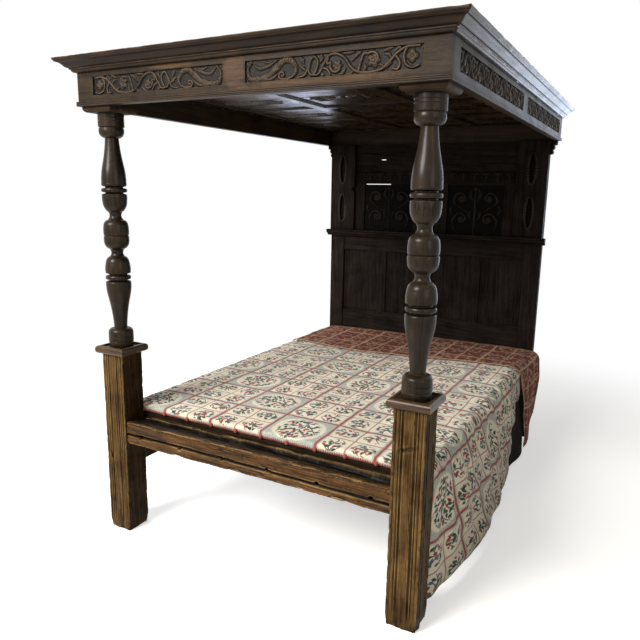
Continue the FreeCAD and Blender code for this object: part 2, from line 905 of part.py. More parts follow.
def side_rail_tenons(grow=0.0):
    """Tenons of the right side rail: in the pedestal, and in the headboard's stile."""
    inner = half_spacing - pedestal_side / 2
    near, far = middle_share(inner, inner + side_rail_thickness, tenon_thickness_share)
    low, high = middle_share(bed_base - side_rail_height, bed_base, tenon_height_share)
    wall = (pedestal_side - foot_rail_depth * tenon_thickness_share) / 2
    front_y = y_pedestal_back - wall * pedestal_mortise_share
    back_y = y_stile + stile_thickness * stile_mortise_share
    front = block(Vector(near, front_y, low), Vector(far, y_pedestal_back, high), grow)
    back = block(Vector(near, y_stile, low), Vector(far, back_y, high), grow)
    return front, back


def side_rail():
    """Deep rail from the pedestal to the headboard, which carries the boards."""
    inner = half_spacing - pedestal_side / 2
    low = Vector(inner, y_pedestal_back, bed_base - side_rail_height)
    body = block(low, Vector(inner + side_rail_thickness, y_stile, bed_base))
    return body.fuse(list(side_rail_tenons())).removeSplitter()


def foot_board():
    """Moulded board along the foot edge of the bed, standing on the side rails."""
    low = Vector(-roll_centre_x, y_foot_board, bed_base)
    body = block(low, Vector(roll_centre_x, y_boards, z_edge))
    bead = Vector(-roll_centre_x, y_foot_board, bed_base + (z_edge - bed_base) / 2)
    lines = []
    for side in (-1, 1):
        place = bead + Vector(0, 0, 2 * foot_board_bead * side)
        lines.append(Part.makeCylinder(foot_board_bead / 2, 2 * roll_centre_x, place, Vector(1, 0, 0)))
    return cut_all(body, lines)


def bed_boards():
    """Boards laid across the side rails."""
    boards = []
    for start, end in even_openings(y_boards, y_stile, board_gap, board_count):
        boards.append(block(Vector(-half_boards, start, bed_base), Vector(half_boards, end, z_boards)))
    return group(boards)


# Mattress, coverlet and throw


def crown_arc(lift, half, reverse=False):
    """End points and middle of the crowned top, lifted by a clearance: an outline step from its start."""
    side = -1 if reverse else 1
    start = Vector(-half * side, 0, z_edge + lift)
    return start, (Vector(0, 0, z_edge + mattress_crown + lift), Vector(half * side, 0, z_edge + lift))


def roll_point(radius, share_x, share_z):
    """Point on the rounded side edge: unit direction from the roll's centre."""
    return Vector(roll_centre_x + radius * share_x, 0, roll_centre_z + radius * share_z)


def roll_arc(radius, downwards):
    """Quarter round over the right-hand side edge, as an outline step."""
    diagonal = 0.5 ** 0.5
    end = roll_point(radius, 1, 0) if downwards else roll_point(radius, 0, 1)
    return roll_point(radius, diagonal, diagonal), end


def mattress():
    """Thin pad with a crowned top, rounded side edges and drawn-in lower edges."""
    start, top = crown_arc(0, roll_centre_x)
    foot_x = mattress_half_width - mattress_draw
    right_middle, right_end = roll_arc(mattress_roll, True)
    left_middle = Vector(-right_middle.x, 0, right_middle.z)
    left_end = Vector(-right_end.x, 0, right_end.z)
    steps = [top, (right_middle, right_end), Vector(foot_x, 0, z_mattress), Vector(-foot_x, 0, z_mattress)]
    steps += [left_end, (left_middle, start)]
    near = y_boards + cloth_clearance
    far = y_stile - head_gap
    section = outline(start, steps).translated(Vector(0, near, 0))
    return solid_from(section, Vector(0, far - near, 0))


def top_sheet(lift, start_y, end_y):
    """Cloth over the crown and round the right-hand edge, down to where its drop hangs free."""
    left = -roll_centre_x - coverlet_slack_left
    outer_lift = lift + cloth_thickness
    inner_start, inner_top = crown_arc(lift, roll_centre_x)
    outer_top = crown_arc(outer_lift, roll_centre_x, True)[1]
    inner_radius = mattress_roll + lift
    outer_radius = mattress_roll + outer_lift
    drop_out = roll_point(outer_radius, 1, 0)
    steps = [inner_top, roll_arc(inner_radius, True), drop_out, roll_arc(outer_radius, False), outer_top]
    steps += [Vector(left, 0, z_edge + outer_lift), Vector(left, 0, z_edge + lift), inner_start]
    section = outline(inner_start, steps).translated(Vector(0, start_y, 0))
    return solid_from(section, Vector(0, end_y - start_y, 0)), drop_out.x


def foot_turn_down():
    """Coverlet's edge turned down over the foot board."""
    middle = cloth_clearance + cloth_thickness / 2
    start, top = crown_arc(middle, roll_centre_x, True)
    low = z_edge - foot_hem
    steps = [top, Vector(-roll_centre_x, 0, low), Vector(roll_centre_x, 0, low), start]
    section = outline(start, steps).translated(Vector(0, y_coverlet, 0))
    return solid_from(section, Vector(0, cloth_thickness, 0))


def chain_of_arcs(points):
    """Edges of arcs through points taken two at a time."""
    return [
        Part.Arc(points[index], points[index + 1], points[index + 2]).toShape()
        for index in range(0, len(points) - 2, 2)
    ]


def cloth_strip(points):
    """Closed wire of a cloth's thickness along a line of points, outer line first."""
    inner = [point - Vector(cloth_thickness, 0, 0) for point in points]
    edges = chain_of_arcs(points)
    edges.append(Part.LineSegment(points[-1], inner[-1]).toShape())
    edges += chain_of_arcs(inner[::-1])
    edges.append(Part.LineSegment(inner[0], points[0]).toShape())
    return Part.Wire(edges)


def straight_strip(points, outer_x, level):
    """The same strip where it leaves the bed's edge: straight, with as many edges."""
    line = [Vector(outer_x, point, level) for point in points]
    inner = [point - Vector(cloth_thickness, 0, 0) for point in line[::-2]]
    corners = line[::2] + inner
    return Part.makePolygon(corners + corners[:1])


def coverlet():
    """Coverlet over the bed from the foot, turned down at the foot and hanging on the right in folds."""
    sheet, edge_x = top_sheet(cloth_clearance, y_coverlet, y_coverlet + coverlet_length)
    places = [y_coverlet + coverlet_length * share for share, flare in hem_shares]
    upper = straight_strip(places, edge_x, roll_centre_z)
    hem = []
    for share, flare in hem_shares:
        along = y_coverlet + coverlet_length * share * (1 - drop_skew_share)
        hem.append(Vector(edge_x + drop_flare * flare, along, drop_clear_floor))
    drop = Part.makeLoft([upper, cloth_strip(hem)], True, True)
    return sheet.fuse([drop, foot_turn_down()]).removeSplitter()


def head_throw():
    """Cloth laid across the head of the bed, its corner hanging down on the right."""
    sheet, edge_x = top_sheet(cloth_clearance + throw_lift, y_throw, y_throw_back)
    last = len(throw_hem_shares) - 1
    places = [y_throw + throw_length * index / last for index in range(last + 1)]
    upper = straight_strip(places, edge_x, roll_centre_z)
    climb = (roll_centre_z - throw_tip_height) * throw_climb_share
    first_share = throw_hem_shares[0][0]
    hem_share = throw_hem_shares[last][0] - first_share
    hem = []
    for share, flare in throw_hem_shares:
        level = throw_tip_height + climb * (share - first_share) / hem_share
        hem.append(Vector(edge_x + throw_flare * flare, y_throw + throw_length * share, level))
    drop = Part.makeLoft([upper, cloth_strip(hem)], True, True)
    return sheet.fuse(drop).removeSplitter()


def all_nodes():
    """Every piece of the bed by its name."""
    nodes = {}
    nodes.update(both_sides("post", turned_post()))
    nodes.update(both_sides("pedestal", pedestal()))
    nodes.update(both_sides("pedestal_cap", pedestal_cap()))
    nodes.update(both_sides("corner_pad", corner_pad()))
    nodes.update(cornices())
    nodes.update(reeded_mouldings())
    nodes.update(friezes())
    nodes["tester_back_rail"] = tester_back_rail()
    nodes.update(soffit())
    nodes.update(headboard_frame())
    nodes["headboard_ledge"] = headboard_ledge()
    nodes.update(both_sides("pilaster", pilaster()))
    nodes.update(both_sides("corbel", corbel()))
    nodes["foot_rail"] = foot_rail()
    nodes.update(both_sides("side_rail", side_rail()))
    nodes["foot_board"] = foot_board()
    nodes["bed_boards"] = bed_boards()
    nodes["mattress"] = mattress()
    nodes["coverlet"] = coverlet()
    nodes["head_throw"] = head_throw()
    return nodes


os.makedirs("parts", exist_ok=True)
for node_name, node_shape in all_nodes().items():
    node_shape.exportStep("parts/" + node_name + ".step")
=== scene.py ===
import math

import bmesh
import bpy
import numpy as np
from mathutils import Matrix, Vector


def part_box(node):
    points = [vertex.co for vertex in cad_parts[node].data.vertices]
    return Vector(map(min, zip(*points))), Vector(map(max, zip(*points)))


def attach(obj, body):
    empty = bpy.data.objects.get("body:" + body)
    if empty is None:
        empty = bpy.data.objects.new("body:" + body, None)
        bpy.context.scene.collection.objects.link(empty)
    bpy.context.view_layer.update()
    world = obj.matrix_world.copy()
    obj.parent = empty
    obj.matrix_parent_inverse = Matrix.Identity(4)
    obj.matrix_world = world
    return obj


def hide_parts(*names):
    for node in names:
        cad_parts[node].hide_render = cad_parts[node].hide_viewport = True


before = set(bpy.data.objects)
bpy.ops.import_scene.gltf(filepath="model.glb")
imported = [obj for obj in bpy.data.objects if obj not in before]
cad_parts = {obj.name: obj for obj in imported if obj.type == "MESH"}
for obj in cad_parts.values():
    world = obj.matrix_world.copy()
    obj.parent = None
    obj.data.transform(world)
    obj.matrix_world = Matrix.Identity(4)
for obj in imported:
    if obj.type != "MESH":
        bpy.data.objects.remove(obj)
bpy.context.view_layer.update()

bl_info = {
    "name": "Four poster bed",
    "version": (1, 0, 0),
    "blender": (4, 5, 0),
    "location": "3D View > Sidebar > Bed",
    "description": "Oak, carving and cloths of a joined four poster bed",
    "category": "Object",
}

MM = 0.001

# Places and sizes on the frame, in millimetres
POST_X, POST_Y = 690.0, -983.5
PEDESTAL_HALF, PEDESTAL_HEIGHT = 60.0, 832.0
# Grooves of a reeded face: share of its width, and radius
PEDESTAL_GROOVES = ((0.10, 3.0), (0.225, 3.4), (0.31, 5.0), (0.70, 5.0), (0.785, 3.4), (0.90, 3.0))
RAIL_HALF, RAIL_END, RAIL_Z = 51.5, 631.0, 480.0
ROPE_HOLES = (-555, -333, -111, 111, 333, 555)
FRIEZE_LOW, FRIEZE_WIDTH, FRIEZE_SUNK = 1906.0, 71.0, 7.0
FRONT_PANEL, FRONT_GAP = 642.0, 48.0
SIDE_PANEL, SIDE_STARTS = 969.0, (-983.5, 81.5)
CORNICE_LOW, CORNICE_REACH = 1997.0, 67.0
SOFFIT_FACE = 1974.5
SOFFIT_COLUMNS = ((-706, -276.7), (-214.7, 214.7), (276.7, 706))
SOFFIT_ROWS = ((-999.5, -524.5), (-470.5, 4.5), (58.5, 533.5), (587.5, 1062.5))
MOTIF_LENGTH, MOTIF_WIDTH = 360.0, 132.0
SCROLL_WIDTH, SCROLL_HEIGHT, SCROLL_DRAWN = 363.0, 330.0, 340.0
SCROLL_GROUND, SCROLL_LOW, SCROLL_STARTS = 1108.0, 1275.0, (-478, 115)
BRACKET_RUN, BRACKET_HEIGHT, BRACKET_STEP = 432.0, 74.0, 72.0
BRACKET_GROUND, BRACKET_LOW, BRACKET_STARTS = 1098.0, 1618.0, (-540, 108)
SLOT_X, SLOT_LEVELS = 638, (1441, 1706)


def to_linear(code):
    """The linear colour of an sRGB hex code."""
    parts = [int(code[i:i + 2], 16) / 255 for i in (1, 3, 5)]
    return tuple(c / 12.92 if c <= 0.04045 else ((c + 0.055) / 1.055) ** 2.4 for c in parts)


def tint(colour, share):
    """The colour, lighter or darker by that share."""
    return tuple(share * c for c in colour)


# Sizes and colours that a user would change

def colour_setting(label, about, code):
    """A colour that starts from a hex code."""
    return bpy.props.FloatVectorProperty(
        name=label, description=about, subtype="COLOR", size=3, min=0.0, max=1.0, default=to_linear(code))


def length_setting(label, about, metres):
    """A length in metres."""
    return bpy.props.FloatProperty(
        name=label, description=about, default=metres, min=0.0, subtype="DISTANCE", unit="LENGTH")


class OakSettings(bpy.types.PropertyGroup):
    """Colours of the bed's oak."""

    waxed_dark: colour_setting("Waxed oak, grain", "Dark lines of the tester and posts", "#16110b")
    waxed_light: colour_setting("Waxed oak", "Face of the tester and posts", "#3a2c1b")
    waxed_worn: colour_setting("Waxed oak, worn", "Rubbed edges of the tester and posts", "#7c5f42")
    cornice: colour_setting("Waxed oak, cornice", "Face of the cornices", "#312314")
    # Worn backs of the carving; on the pilaster notches also a painted glint
    carved_worn_and_glint: colour_setting("Carved oak, worn and glinting", "Worn backs of the carving, and the painted glint of the pilaster notches", "#7a6a56")
    dry_dark: colour_setting("Dry oak, grain", "Dark lines of the pedestals and foot rail", "#24170b")
    dry_light: colour_setting("Dry oak", "Face of the pedestal caps", "#4e371c")
    # Worn edges of the dry oak; on the caps and pedestals also a painted highlight
    dry_worn_and_highlight: colour_setting("Dry oak, worn and highlit", "Worn edges of the pedestals and caps, with their painted highlight", "#b4935f")
    golden: colour_setting("Dry oak, pedestals", "Face of the pedestals", "#5a4427")
    rail: colour_setting("Dry oak, foot rail", "Face of the foot rail", "#573b1f")
    black_dark: colour_setting("Black oak, grain", "Dark lines of the headboard", "#100d0b")
    black_light: colour_setting("Black oak", "Face of the headboard", "#2a231e")
    black_worn: colour_setting("Black oak, worn", "Rubbed edges of the headboard", "#4a382b")
    sawn_dark: colour_setting("Sawn oak, grain", "Dark lines of rails and boards under the mattress", "#130d08")
    sawn_light: colour_setting("Sawn oak", "Face of rails and boards under the mattress", "#35261a")
    bare: colour_setting("Bare oak", "Patches where the wax is gone", "#5f462f")


class ClothSettings(bpy.types.PropertyGroup):
    """Sizes and colours of the cloths."""

    column: length_setting("Column", "Width of one small square of the coverlet", 0.1287)
    row: length_setting("Row", "Length of one small square of the coverlet", 0.1165)
    thickness: length_setting("Thickness", "Thickness of the cloths", 0.0032)
    cream: colour_setting("Cream", "Ground of the coverlet's squares", "#eee5cd")
    slate: colour_setting("Slate", "Ground round the medallions", "#c2c6b8")
    band: colour_setting("Band", "Red bands between the blocks", "#96463f")
    leaf: colour_setting("Leaf", "Leaves of the sprigs", "#25493d")
    flower: colour_setting("Flower", "Flowers of the sprigs", "#96332d")
    bud: colour_setting("Bud", "Buds of the sprigs", "#4e6079")
    twig: colour_setting("Twig", "Twigs of the sprigs", "#473a2a")
    tuft: colour_setting("Tuft", "Wool tufts along the foot hem", "#b4503c")
    # Dark band along the drop's hem: painted shade of its turned-under edge
    hem_shadow: colour_setting("Hem shadow", "Dark band along the drop's hem, painted shade of its turned-under edge", "#34301f")
    wine: colour_setting("Wine red", "Ground of the head throw", "#845144")
    tan: colour_setting("Tan", "Lines of the head throw", "#b99a80")
    # Near black colour of the sheet that paints the shadow inside the throw's fold
    fold_shadow: colour_setting("Fold shadow", "Near black sheet in the head throw's fold, a painted shadow", "#120d09")
    ticking: colour_setting("Ticking", "Ground of the mattress cover", "#cfc5b0")
    stripe: colour_setting("Stripe", "Stripes of the mattress cover", "#6e7680")


class CarvingSettings(bpy.types.PropertyGroup):
    """Sizes of the carving."""

    frieze_depth: length_setting("Frieze relief", "Height of the vine over its ground", 0.0074)
    frieze_step: length_setting("Frieze grid", "Spacing of the frieze's grid", 0.0017)
    soffit_depth: length_setting("Soffit relief", "Height of the soffit's motifs", 0.0042)
    soffit_step: length_setting("Soffit grid", "Spacing of the soffit's grid", 0.0032)
    panel_depth: length_setting("Headboard relief", "Height of the scrolls on the headboard", 0.0085)
    panel_step: length_setting("Headboard grid", "Spacing of the headboard's grid", 0.0026)


class StageSettings(bpy.types.PropertyGroup):
    """Floor and lens."""

    floor: colour_setting("Floor", "Pale floor", "#f4f2ee")
    lens: length_setting("Lens", "Focal length of the camera", 0.03497)


class BedSettings(bpy.types.PropertyGroup):
    """All settings of the bed."""

    oak: bpy.props.PointerProperty(type=OakSettings, name="Oak", description="Colours of the oak")
    cloth: bpy.props.PointerProperty(type=ClothSettings, name="Cloth", description="The cloths")
    carving: bpy.props.PointerProperty(type=CarvingSettings, name="Carving", description="The carving")
    stage: bpy.props.PointerProperty(type=StageSettings, name="Stage", description="Floor and lens")


# Surfaces

def cells(index):
    """The four corners of each cell in a grid of point numbers."""
    return np.stack([index[:-1, :-1], index[1:, :-1], index[1:, 1:], index[:-1, 1:]], -1).reshape(-1, 4)


def piece(name, grids, material, replaced=()):
    """One object from grids: points (rows, columns, 3), flags for rows and columns that close, and marks.

    Each cell of a grid is a four-sided face, and its outside is where row direction x column direction points.
    Marks are arrays of one number a point, or of two for cloth coordinates in metres, kept under their names. Points
    that fall together, such as a row shrunk to a pole, are merged.
    """
    corners, faces = [], []
    start = 0
    for points, close_rows, close_columns, _ in grids:
        rows, columns = points.shape[:2]
        index = start + np.arange(rows * columns).reshape(rows, columns)
        if close_rows:
            index = np.concatenate([index, index[:1]], 0)
        if close_columns:
            index = np.concatenate([index, index[:, :1]], 1)
        corners.append(points.reshape(-1, 3))
        faces.append(cells(index))
        start += rows * columns
    faces = np.concatenate(faces)
    mesh = bpy.data.meshes.new(name)
    mesh.from_pydata(np.concatenate(corners).tolist(), [], faces.tolist())
    for mark in grids[0][3]:
        values = [grid[3][mark].reshape(len(points), -1) for grid, points in zip(grids, corners)]
        values = np.concatenate(values).astype(np.float32)
        if values.shape[1] == 2:
            mesh.uv_layers.new(name=mark).uv.foreach_set("vector", values[faces.ravel()].ravel())
        else:
            mesh.attributes.new(mark, "FLOAT", "POINT").data.foreach_set("value", values.ravel())
    sewn = bmesh.new()
    sewn.from_mesh(mesh)
    bmesh.ops.remove_doubles(sewn, verts=sewn.verts, dist=1e-6)
    sewn.to_mesh(mesh)
    sewn.free()
    mesh.shade_smooth()
    mesh.materials.append(material)
    made = bpy.data.objects.new(name, mesh)
    bpy.context.scene.collection.objects.link(made)
    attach(made, "root")
    if replaced:
        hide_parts(*replaced)
    return made


def thicken(cloth, metres):
    """Give a cloth its thickness, half to each side."""
    body = cloth.modifiers.new("Thickness", "SOLIDIFY")
    body.thickness, body.offset = metres, 0.0


def uneven(u, v, wave, seed, count=11):
    """Sum of sine waves in seeded directions with lengths near wave; it stays about within -1 and 1."""
    chance = np.random.default_rng(seed)
    total = np.zeros(np.broadcast(u, v).shape)
    for _ in range(count):
        turn, phase = chance.uniform(0, 2 * np.pi, 2)
        length = wave * chance.uniform(0.6, 1.8)
        total += np.sin((u * np.cos(turn) + v * np.sin(turn)) * 2 * np.pi / length + phase)
    return total / np.sqrt(count * 1.6)


def smooth_step(low, high, value):
    """0 below low, 1 above high, and the cubic 3x2 - 2x3 between."""
    x = np.clip((value - low) / (high - low), 0, 1)
    return x * x * (3 - 2 * x)


def smooth_line(points, count=60):
    """Catmull-Rom curve through the points: in each span a cubic whose end slopes are half the chord between the
    points on either side."""
    p = np.asarray(points, float)
    p = np.vstack([2 * p[0] - p[1], p, 2 * p[-1] - p[-2]])
    t = np.linspace(0, len(p) - 3 - 1e-9, count)
    i = t.astype(int)
    t = (t - i)[:, None]
    a, b, c, d = p[i], p[i + 1], p[i + 2], p[i + 3]
    return 0.5 * (2 * b + (c - a) * t + (2 * a - 5 * b + 4 * c - d) * t ** 2 + (3 * b - a - 3 * c + d) * t ** 3)


# Carving, drawn in millimetres on a flat ground

def stroke_height(u, v, points, widths, height, scales=0.0):
    """Round-backed stroke: height x sqrt(1 - (distance / half width) squared) round a smooth line.

    The half width runs smoothly through the given widths; scales cuts crescents of that length across the back.
    """
    line = smooth_line(points)
    share = np.linspace(0, 1, len(line))
    half = np.interp(share, np.linspace(0, 1, len(widths)), widths)
    run = np.concatenate([[0], np.cumsum(np.hypot(*np.diff(line, axis=0).T))])
    gap = np.hypot(u[..., None] - line[:, 0], v[..., None] - line[:, 1])
    near = np.argmin(gap / np.maximum(half, 0.3), -1)
    distance = np.take_along_axis(gap, near[..., None], -1)[..., 0]
    share_across = distance / np.maximum(half[near], 0.3)
    back = height * np.sqrt(np.clip(1 - share_across ** 2, 0, 1))
    if scales:
        wave = np.abs(np.sin(np.pi * (run[near] / scales + 0.55 * share_across ** 2)))
        back = back * (0.62 + 0.38 * wave)
    return back


def flower_height(u, v, centre, radius, petals, height):
    """Rosette: domed petals whose edge swells and shrinks with the cosine of the angle, round a raised boss."""
    x, y = u - centre[0], v - centre[1]
    r, angle = np.hypot(x, y), np.arctan2(y, x)
    edge = radius * (0.66 + 0.34 * np.abs(np.cos(petals * angle / 2)))
    dome = height * np.sqrt(np.clip(1 - (r / edge) ** 2, 0, 1)) * (0.55 + 0.45 * smooth_step(0.1, 0.55, r / edge))
    boss = height * 1.05 * np.sqrt(np.clip(1 - (r / (0.26 * radius)) ** 2, 0, 1))
    return np.maximum(dome, boss)


def carved_height(u, v, strokes, flowers, depth, seed):
    """The highest of all strokes and flowers, on a ground with shallow tool marks."""
    ground = 0.35 + 0.22 * uneven(u, v, 9.0, seed)
    top = np.zeros_like(u)
    for points, widths, share, scales in strokes:
        top = np.maximum(top, stroke_height(u, v, points, widths, depth * share, scales))
    for centre, radius, petals, share in flowers:
        top = np.maximum(top, flower_height(u, v, centre, radius, petals, depth * share))
    return np.maximum(ground, top * (1 + 0.06 * uneven(u, v, 14.0, seed + 1)))


def relief(length, width, step, height_of, place, sink=1.0):
    """Closed slab whose face is a height field over length x width, in millimetres.

    Its back lies sink under the ground, so that the slab stands in the wood, and each end shrinks to a pole. place
    turns (along, across, height) into a point of the bed; along x across must point out of the wood.
    """
    u = np.linspace(0, length, int(round(length / step)) + 1)
    v = np.linspace(0, width, int(round(width / step)) + 1)
    along, across = np.meshgrid(u, v, indexing="ij")
    height = np.pad(height_of(along, across), 1, constant_values=-sink)
    along, across = np.pad(along, 1, "edge"), np.pad(across, 1, "edge")
    across[[0, -1]], height[[0, -1]] = width / 2, -sink / 2
    return place(along, across, height) * MM, False, True, {"raised": height / height.max()}


def coil(centre, radius, turns, start, hand=1):
    """Points of a spiral that closes on its centre while it turns."""
    share = np.linspace(0, 1, 12)
    angle = start + hand * 2 * np.pi * turns * share
    r = radius * (1 - 0.86 * share)
    return [(centre[0] + a * math.cos(b), centre[1] + a * math.sin(b)) for a, b in zip(r, angle)]


# One half of the front frieze, from the middle of the bed outwards; each row is line, half widths, share, scales
FRONT_STROKES = [
    ([(26, 30), (10, 6), (20, -22), (52, -27), (90, -20), (124, 4), (152, 25), (180, 25), (199, 6), (200, -14),
      (188, -27)],
     (4, 8, 11, 13.5, 13, 11.5, 10, 7, 4.5), 1.0, 8.0),
    ([(30, 27), (56, 8), (94, 14), (130, 31)], (1.5, 6.5, 6.5, 1.5), 0.8, 5.5),
    ([(188, -27), (168, -33)] + coil((148, -19), 14, 1.3, -1.2, -1), (5, 4.6, 4, 3.2), 0.95, 0),
    ([(208, -32), (236, -24), (252, 8), (268, 29), (284, 12), (276, -16), (262, -27), (250, -14), (256, 10)],
     (3.4, 4.4, 4.8, 4.6, 4.4, 4, 2.8), 0.92, 0),
    ([(262, -27), (286, -26), (304, 0), (322, 26), (350, 31), (380, 16), (402, -12), (428, -29), (466, -33)],
     (3.4, 4.8, 5.2, 5.2, 5.2, 5, 4.6), 1.0, 0),
    ([(296, -6), (318, -14), (330, -31)], (4, 4, 2.8), 0.88, 0),
    ([(322, 24), (318, 4)] + coil((352, -6), 25, 0.9, 2.7, 1), (4.6, 4.6, 4, 3.2), 0.95, 0),
    ([(428, -29), (436, 0), (446, 22)] + coil((480, 0), 30, 0.55, 2.3, -1)[:8], (5, 4.8, 4.2, 3.4), 0.95, 0),
    ([(466, -33), (506, -27), (534, -6), (560, 18), (590, 31), (628, 31)], (5, 5.2, 5.2, 4.8, 3.4), 1.0, 0),
    ([(552, 10), (566, -12), (560, -30), (544, -28)], (4.6, 4.4, 3.8, 3), 0.92, 0),
    ([(590, 30), (580, 12), (584, -16), (606, -29), (628, -24)], (4.6, 4.6, 4.4, 3.6, 2.8), 0.92, 0),
] + [(leaf, (1.5, half, 1.5), share, 4.5) for half, share, leaves in (
    (6.5, 0.85, ([(404, 4), (420, 20), (438, 32)], [(372, 30), (394, 30), (414, 31)],
                 [(222, 30), (226, 20), (232, 10)], [(512, 24), (528, 30), (544, 33)],
                 [(384, -14), (372, -28), (356, -33)], [(500, -12), (520, -20), (540, -10)],
                 [(240, -12), (228, -4), (216, 6)], [(292, 8), (300, 22), (296, 33)])),
    (6, 0.85, ([(412, -22), (404, -30), (388, -34)], [(446, -30), (452, -18), (448, -6)],
               [(540, 0), (530, 14), (516, 16)], [(572, 22), (562, 32), (548, 20)])),
    (6, 0.8, ([(92, -32), (112, -26), (134, -12)],)),
    (5, 0.8, ([(70, 30), (92, 24), (110, 28)],)),
) for leaf in leaves]
FRONT_FLOWERS = [
    ((354, -5), 19, 6, 0.95), ((480, 1), 24, 5, 1.05), ((606, 4), 21, 4, 1.0), ((228, 22), 7, 3, 0.8),
    ((300, -28), 7.5, 4, 0.8), ((430, 27), 7, 3, 0.75),
]

# The repeat of the side friezes: a wave with a coil and rosette in each hollow
SIDE_REPEAT = 161.5
SIDE_STROKES = [
    ([(0, -29), (30, -20), (52, 4), (80, 29), (108, 18), (132, -8), (161.5, -29)], (8, 9, 9, 9, 8), 1.0, 7),
    ([(56, 8), (50, -8)] + coil((80, -8), 24, 0.9, 2.6, 1), (7, 6.6, 5.6, 4), 0.95, 0),
    ([(136, -12), (128, 10), (142, 29), (161.5, 25)], (7, 7, 6.4, 4.6), 0.95, 0),
    ([(0, 25), (20, 21), (24, 4), (10, -8)], (4.6, 6.6, 6.4, 4.6), 0.95, 0),
    ([(106, 20), (118, 31), (134, 34)], (1.5, 8.5, 1.5), 0.9, 5),
    ([(28, -20), (46, -31), (64, -34)], (1.5, 8.5, 1.5), 0.9, 5),
    ([(112, 4), (114, -14), (104, -31)], (1.5, 8.5, 1.5), 0.9, 5),
    ([(40, 4), (30, 20), (44, 33)], (1.5, 7.5, 1.5), 0.9, 5),
]
SIDE_FLOWERS = [((82, -9), 18, 5, 1.0), ((2, 8), 13, 4, 0.9), ((160, 8), 13, 4, 0.9), ((38, 26), 8, 3, 0.8)]


def front_frieze(along, across, depth):
    """Vine and serpent scroll of one front panel; along runs from the middle of the bed."""
    return carved_height(along, across - FRIEZE_WIDTH / 2, FRONT_STROKES, FRONT_FLOWERS, depth, 3)


def side_frieze(along, across, depth):
    """The side repeat, laid end to end."""
    along = np.mod(along, SIDE_REPEAT)
    return carved_height(along, across - FRIEZE_WIDTH / 2, SIDE_STROKES, SIDE_FLOWERS, depth, 5)


def soffit_motif(along, across, depth):
    """Oblong frame with hatched ends, leaves round a flower inside it and a small lozenge beyond each end."""
    u, v = along - MOTIF_LENGTH / 2, across - MOTIF_WIDTH / 2
    strokes = []
    for side in (-1, 1):
        for bar in ([(side * 138, -52), (side * 138, 52)], [(side * 104, -52), (side * 104, 52)],
                    [(-138, side * 54), (138, side * 54)]):
            strokes.append((bar, (2.6, 2.6), 1.0, 0))
        for bar in (-3, -2, -1, 0, 1, 2, 3):
            strokes.append(([(side * 110, bar * 14 - 4), (side * 132, bar * 14 + 4)], (3.2, 3.2), 0.8, 0))
        for lift in (-1, 1):
            outer = [(side * 26, lift * 6), (side * 52, lift * 34), (side * 86, lift * 40)]
            inner = [(side * 30, 0), (side * 60, lift * 8), (side * 92, lift * 16)]
            strokes += [(outer, (2, 8, 1), 0.9, 6), (inner, (2, 7, 1), 0.9, 6)]
        strokes.append(([(0, side * 24), (side * 14, side * 40), (side * 40, side * 46)], (2, 5, 1), 0.85, 0))
    flowers = [((0, 0), 26, 6, 1.0), ((-162, 0), 9, 4, 0.9), ((162, 0), 9, 4, 0.9)]
    return carved_height(u, v, strokes, flowers, depth, 7)


def headboard_scrolls(along, across, depth):
    """Two opposed coils with rosettes on a stem, under a pair of arched leaves."""
    u, v = along - SCROLL_WIDTH / 2, across - SCROLL_DRAWN / 2
    strokes = [([(0, -160), (0, -40), (0, 60), (0, 130)], (5, 7, 6, 3), 0.9, 0)]
    for side in (-1, 1):
        turn = 0.0 if side > 0 else math.pi
        strokes.append(([(0, -120), (side * 60, -150), (side * 128, -120), (side * 142, -60)]
                        + coil((side * 88, -52), 48, 1.1, turn, side), (4, 8, 8, 7, 5, 4), 1.0, 0))
        strokes.append(([(0, 20), (side * 40, -4), (side * 92, 24), (side * 138, 60)]
                        + coil((side * 92, 84), 44, 1.1, turn, side), (4, 8, 8, 7, 5, 4), 1.0, 0))
        strokes.append(([(side * 8, 60), (side * 30, 104), (side * 22, 146)], (2, 12, 2), 0.9, 9))
        strokes.append(([(side * 146, -20), (side * 160, 10), (side * 150, 40)], (2, 9, 2), 0.85, 9))
        strokes.append(([(side * 20, -60), (side * 34, -26), (side * 26, 4)], (2, 9, 2), 0.85, 9))
    flowers = [((side * 88, low), 24, 6, 1.0) for side in (-1, 1) for low in (-52, 84)]
    return carved_height(u, v, strokes, flowers + [((0, 146), 14, 5, 1.0)], depth, 9)


def bracket_row(along, across, depth):
    """Row of small hanging brackets: a cap, a tapered stem and a drop, every 72 mm."""
    u = np.mod(along, BRACKET_STEP) - BRACKET_STEP / 2
    strokes = [([(-22, 62), (22, 62)], (5, 5), 0.9, 0), ([(0, 58), (0, 22)], (9, 4), 1.0, 0),
               ([(-34, 40), (-24, 54), (-8, 58)], (2, 4, 3), 0.7, 0),
               ([(34, 40), (24, 54), (8, 58)], (2, 4, 3), 0.7, 0)]
    return carved_height(u, across, strokes, [((0, 14), 8, 4, 0.9)], depth, 13)


def ring_of_notches(centre_x, centre_z, face_y):
    """Half-round border of an oval slot, cut by notches: its height follows |sin| along the oval."""
    around = np.linspace(0, 2 * np.pi, 145)[:-1]
    half_width, half_height, bead, rise, notches = 25.5, 95.0, 7.5, 5.5, 36
    arc = np.linspace(0, np.pi, 7)
    turn, out = np.meshgrid(around, np.append(np.cos(arc), [-1, 1]) * bead, indexing="ij")
    notched = 0.12 + 0.88 * np.abs(np.sin(turn * notches / 2)) ** 0.7
    lift = np.append(np.sin(arc), [-0.3, -0.3]) * rise * notched
    x = centre_x + (half_width + out) * np.cos(turn)
    z = centre_z + (half_height + out) * np.sin(turn)
    return np.stack([x, face_y - lift + 0.4, z], -1) * MM, True, True, {"raised": lift / rise}


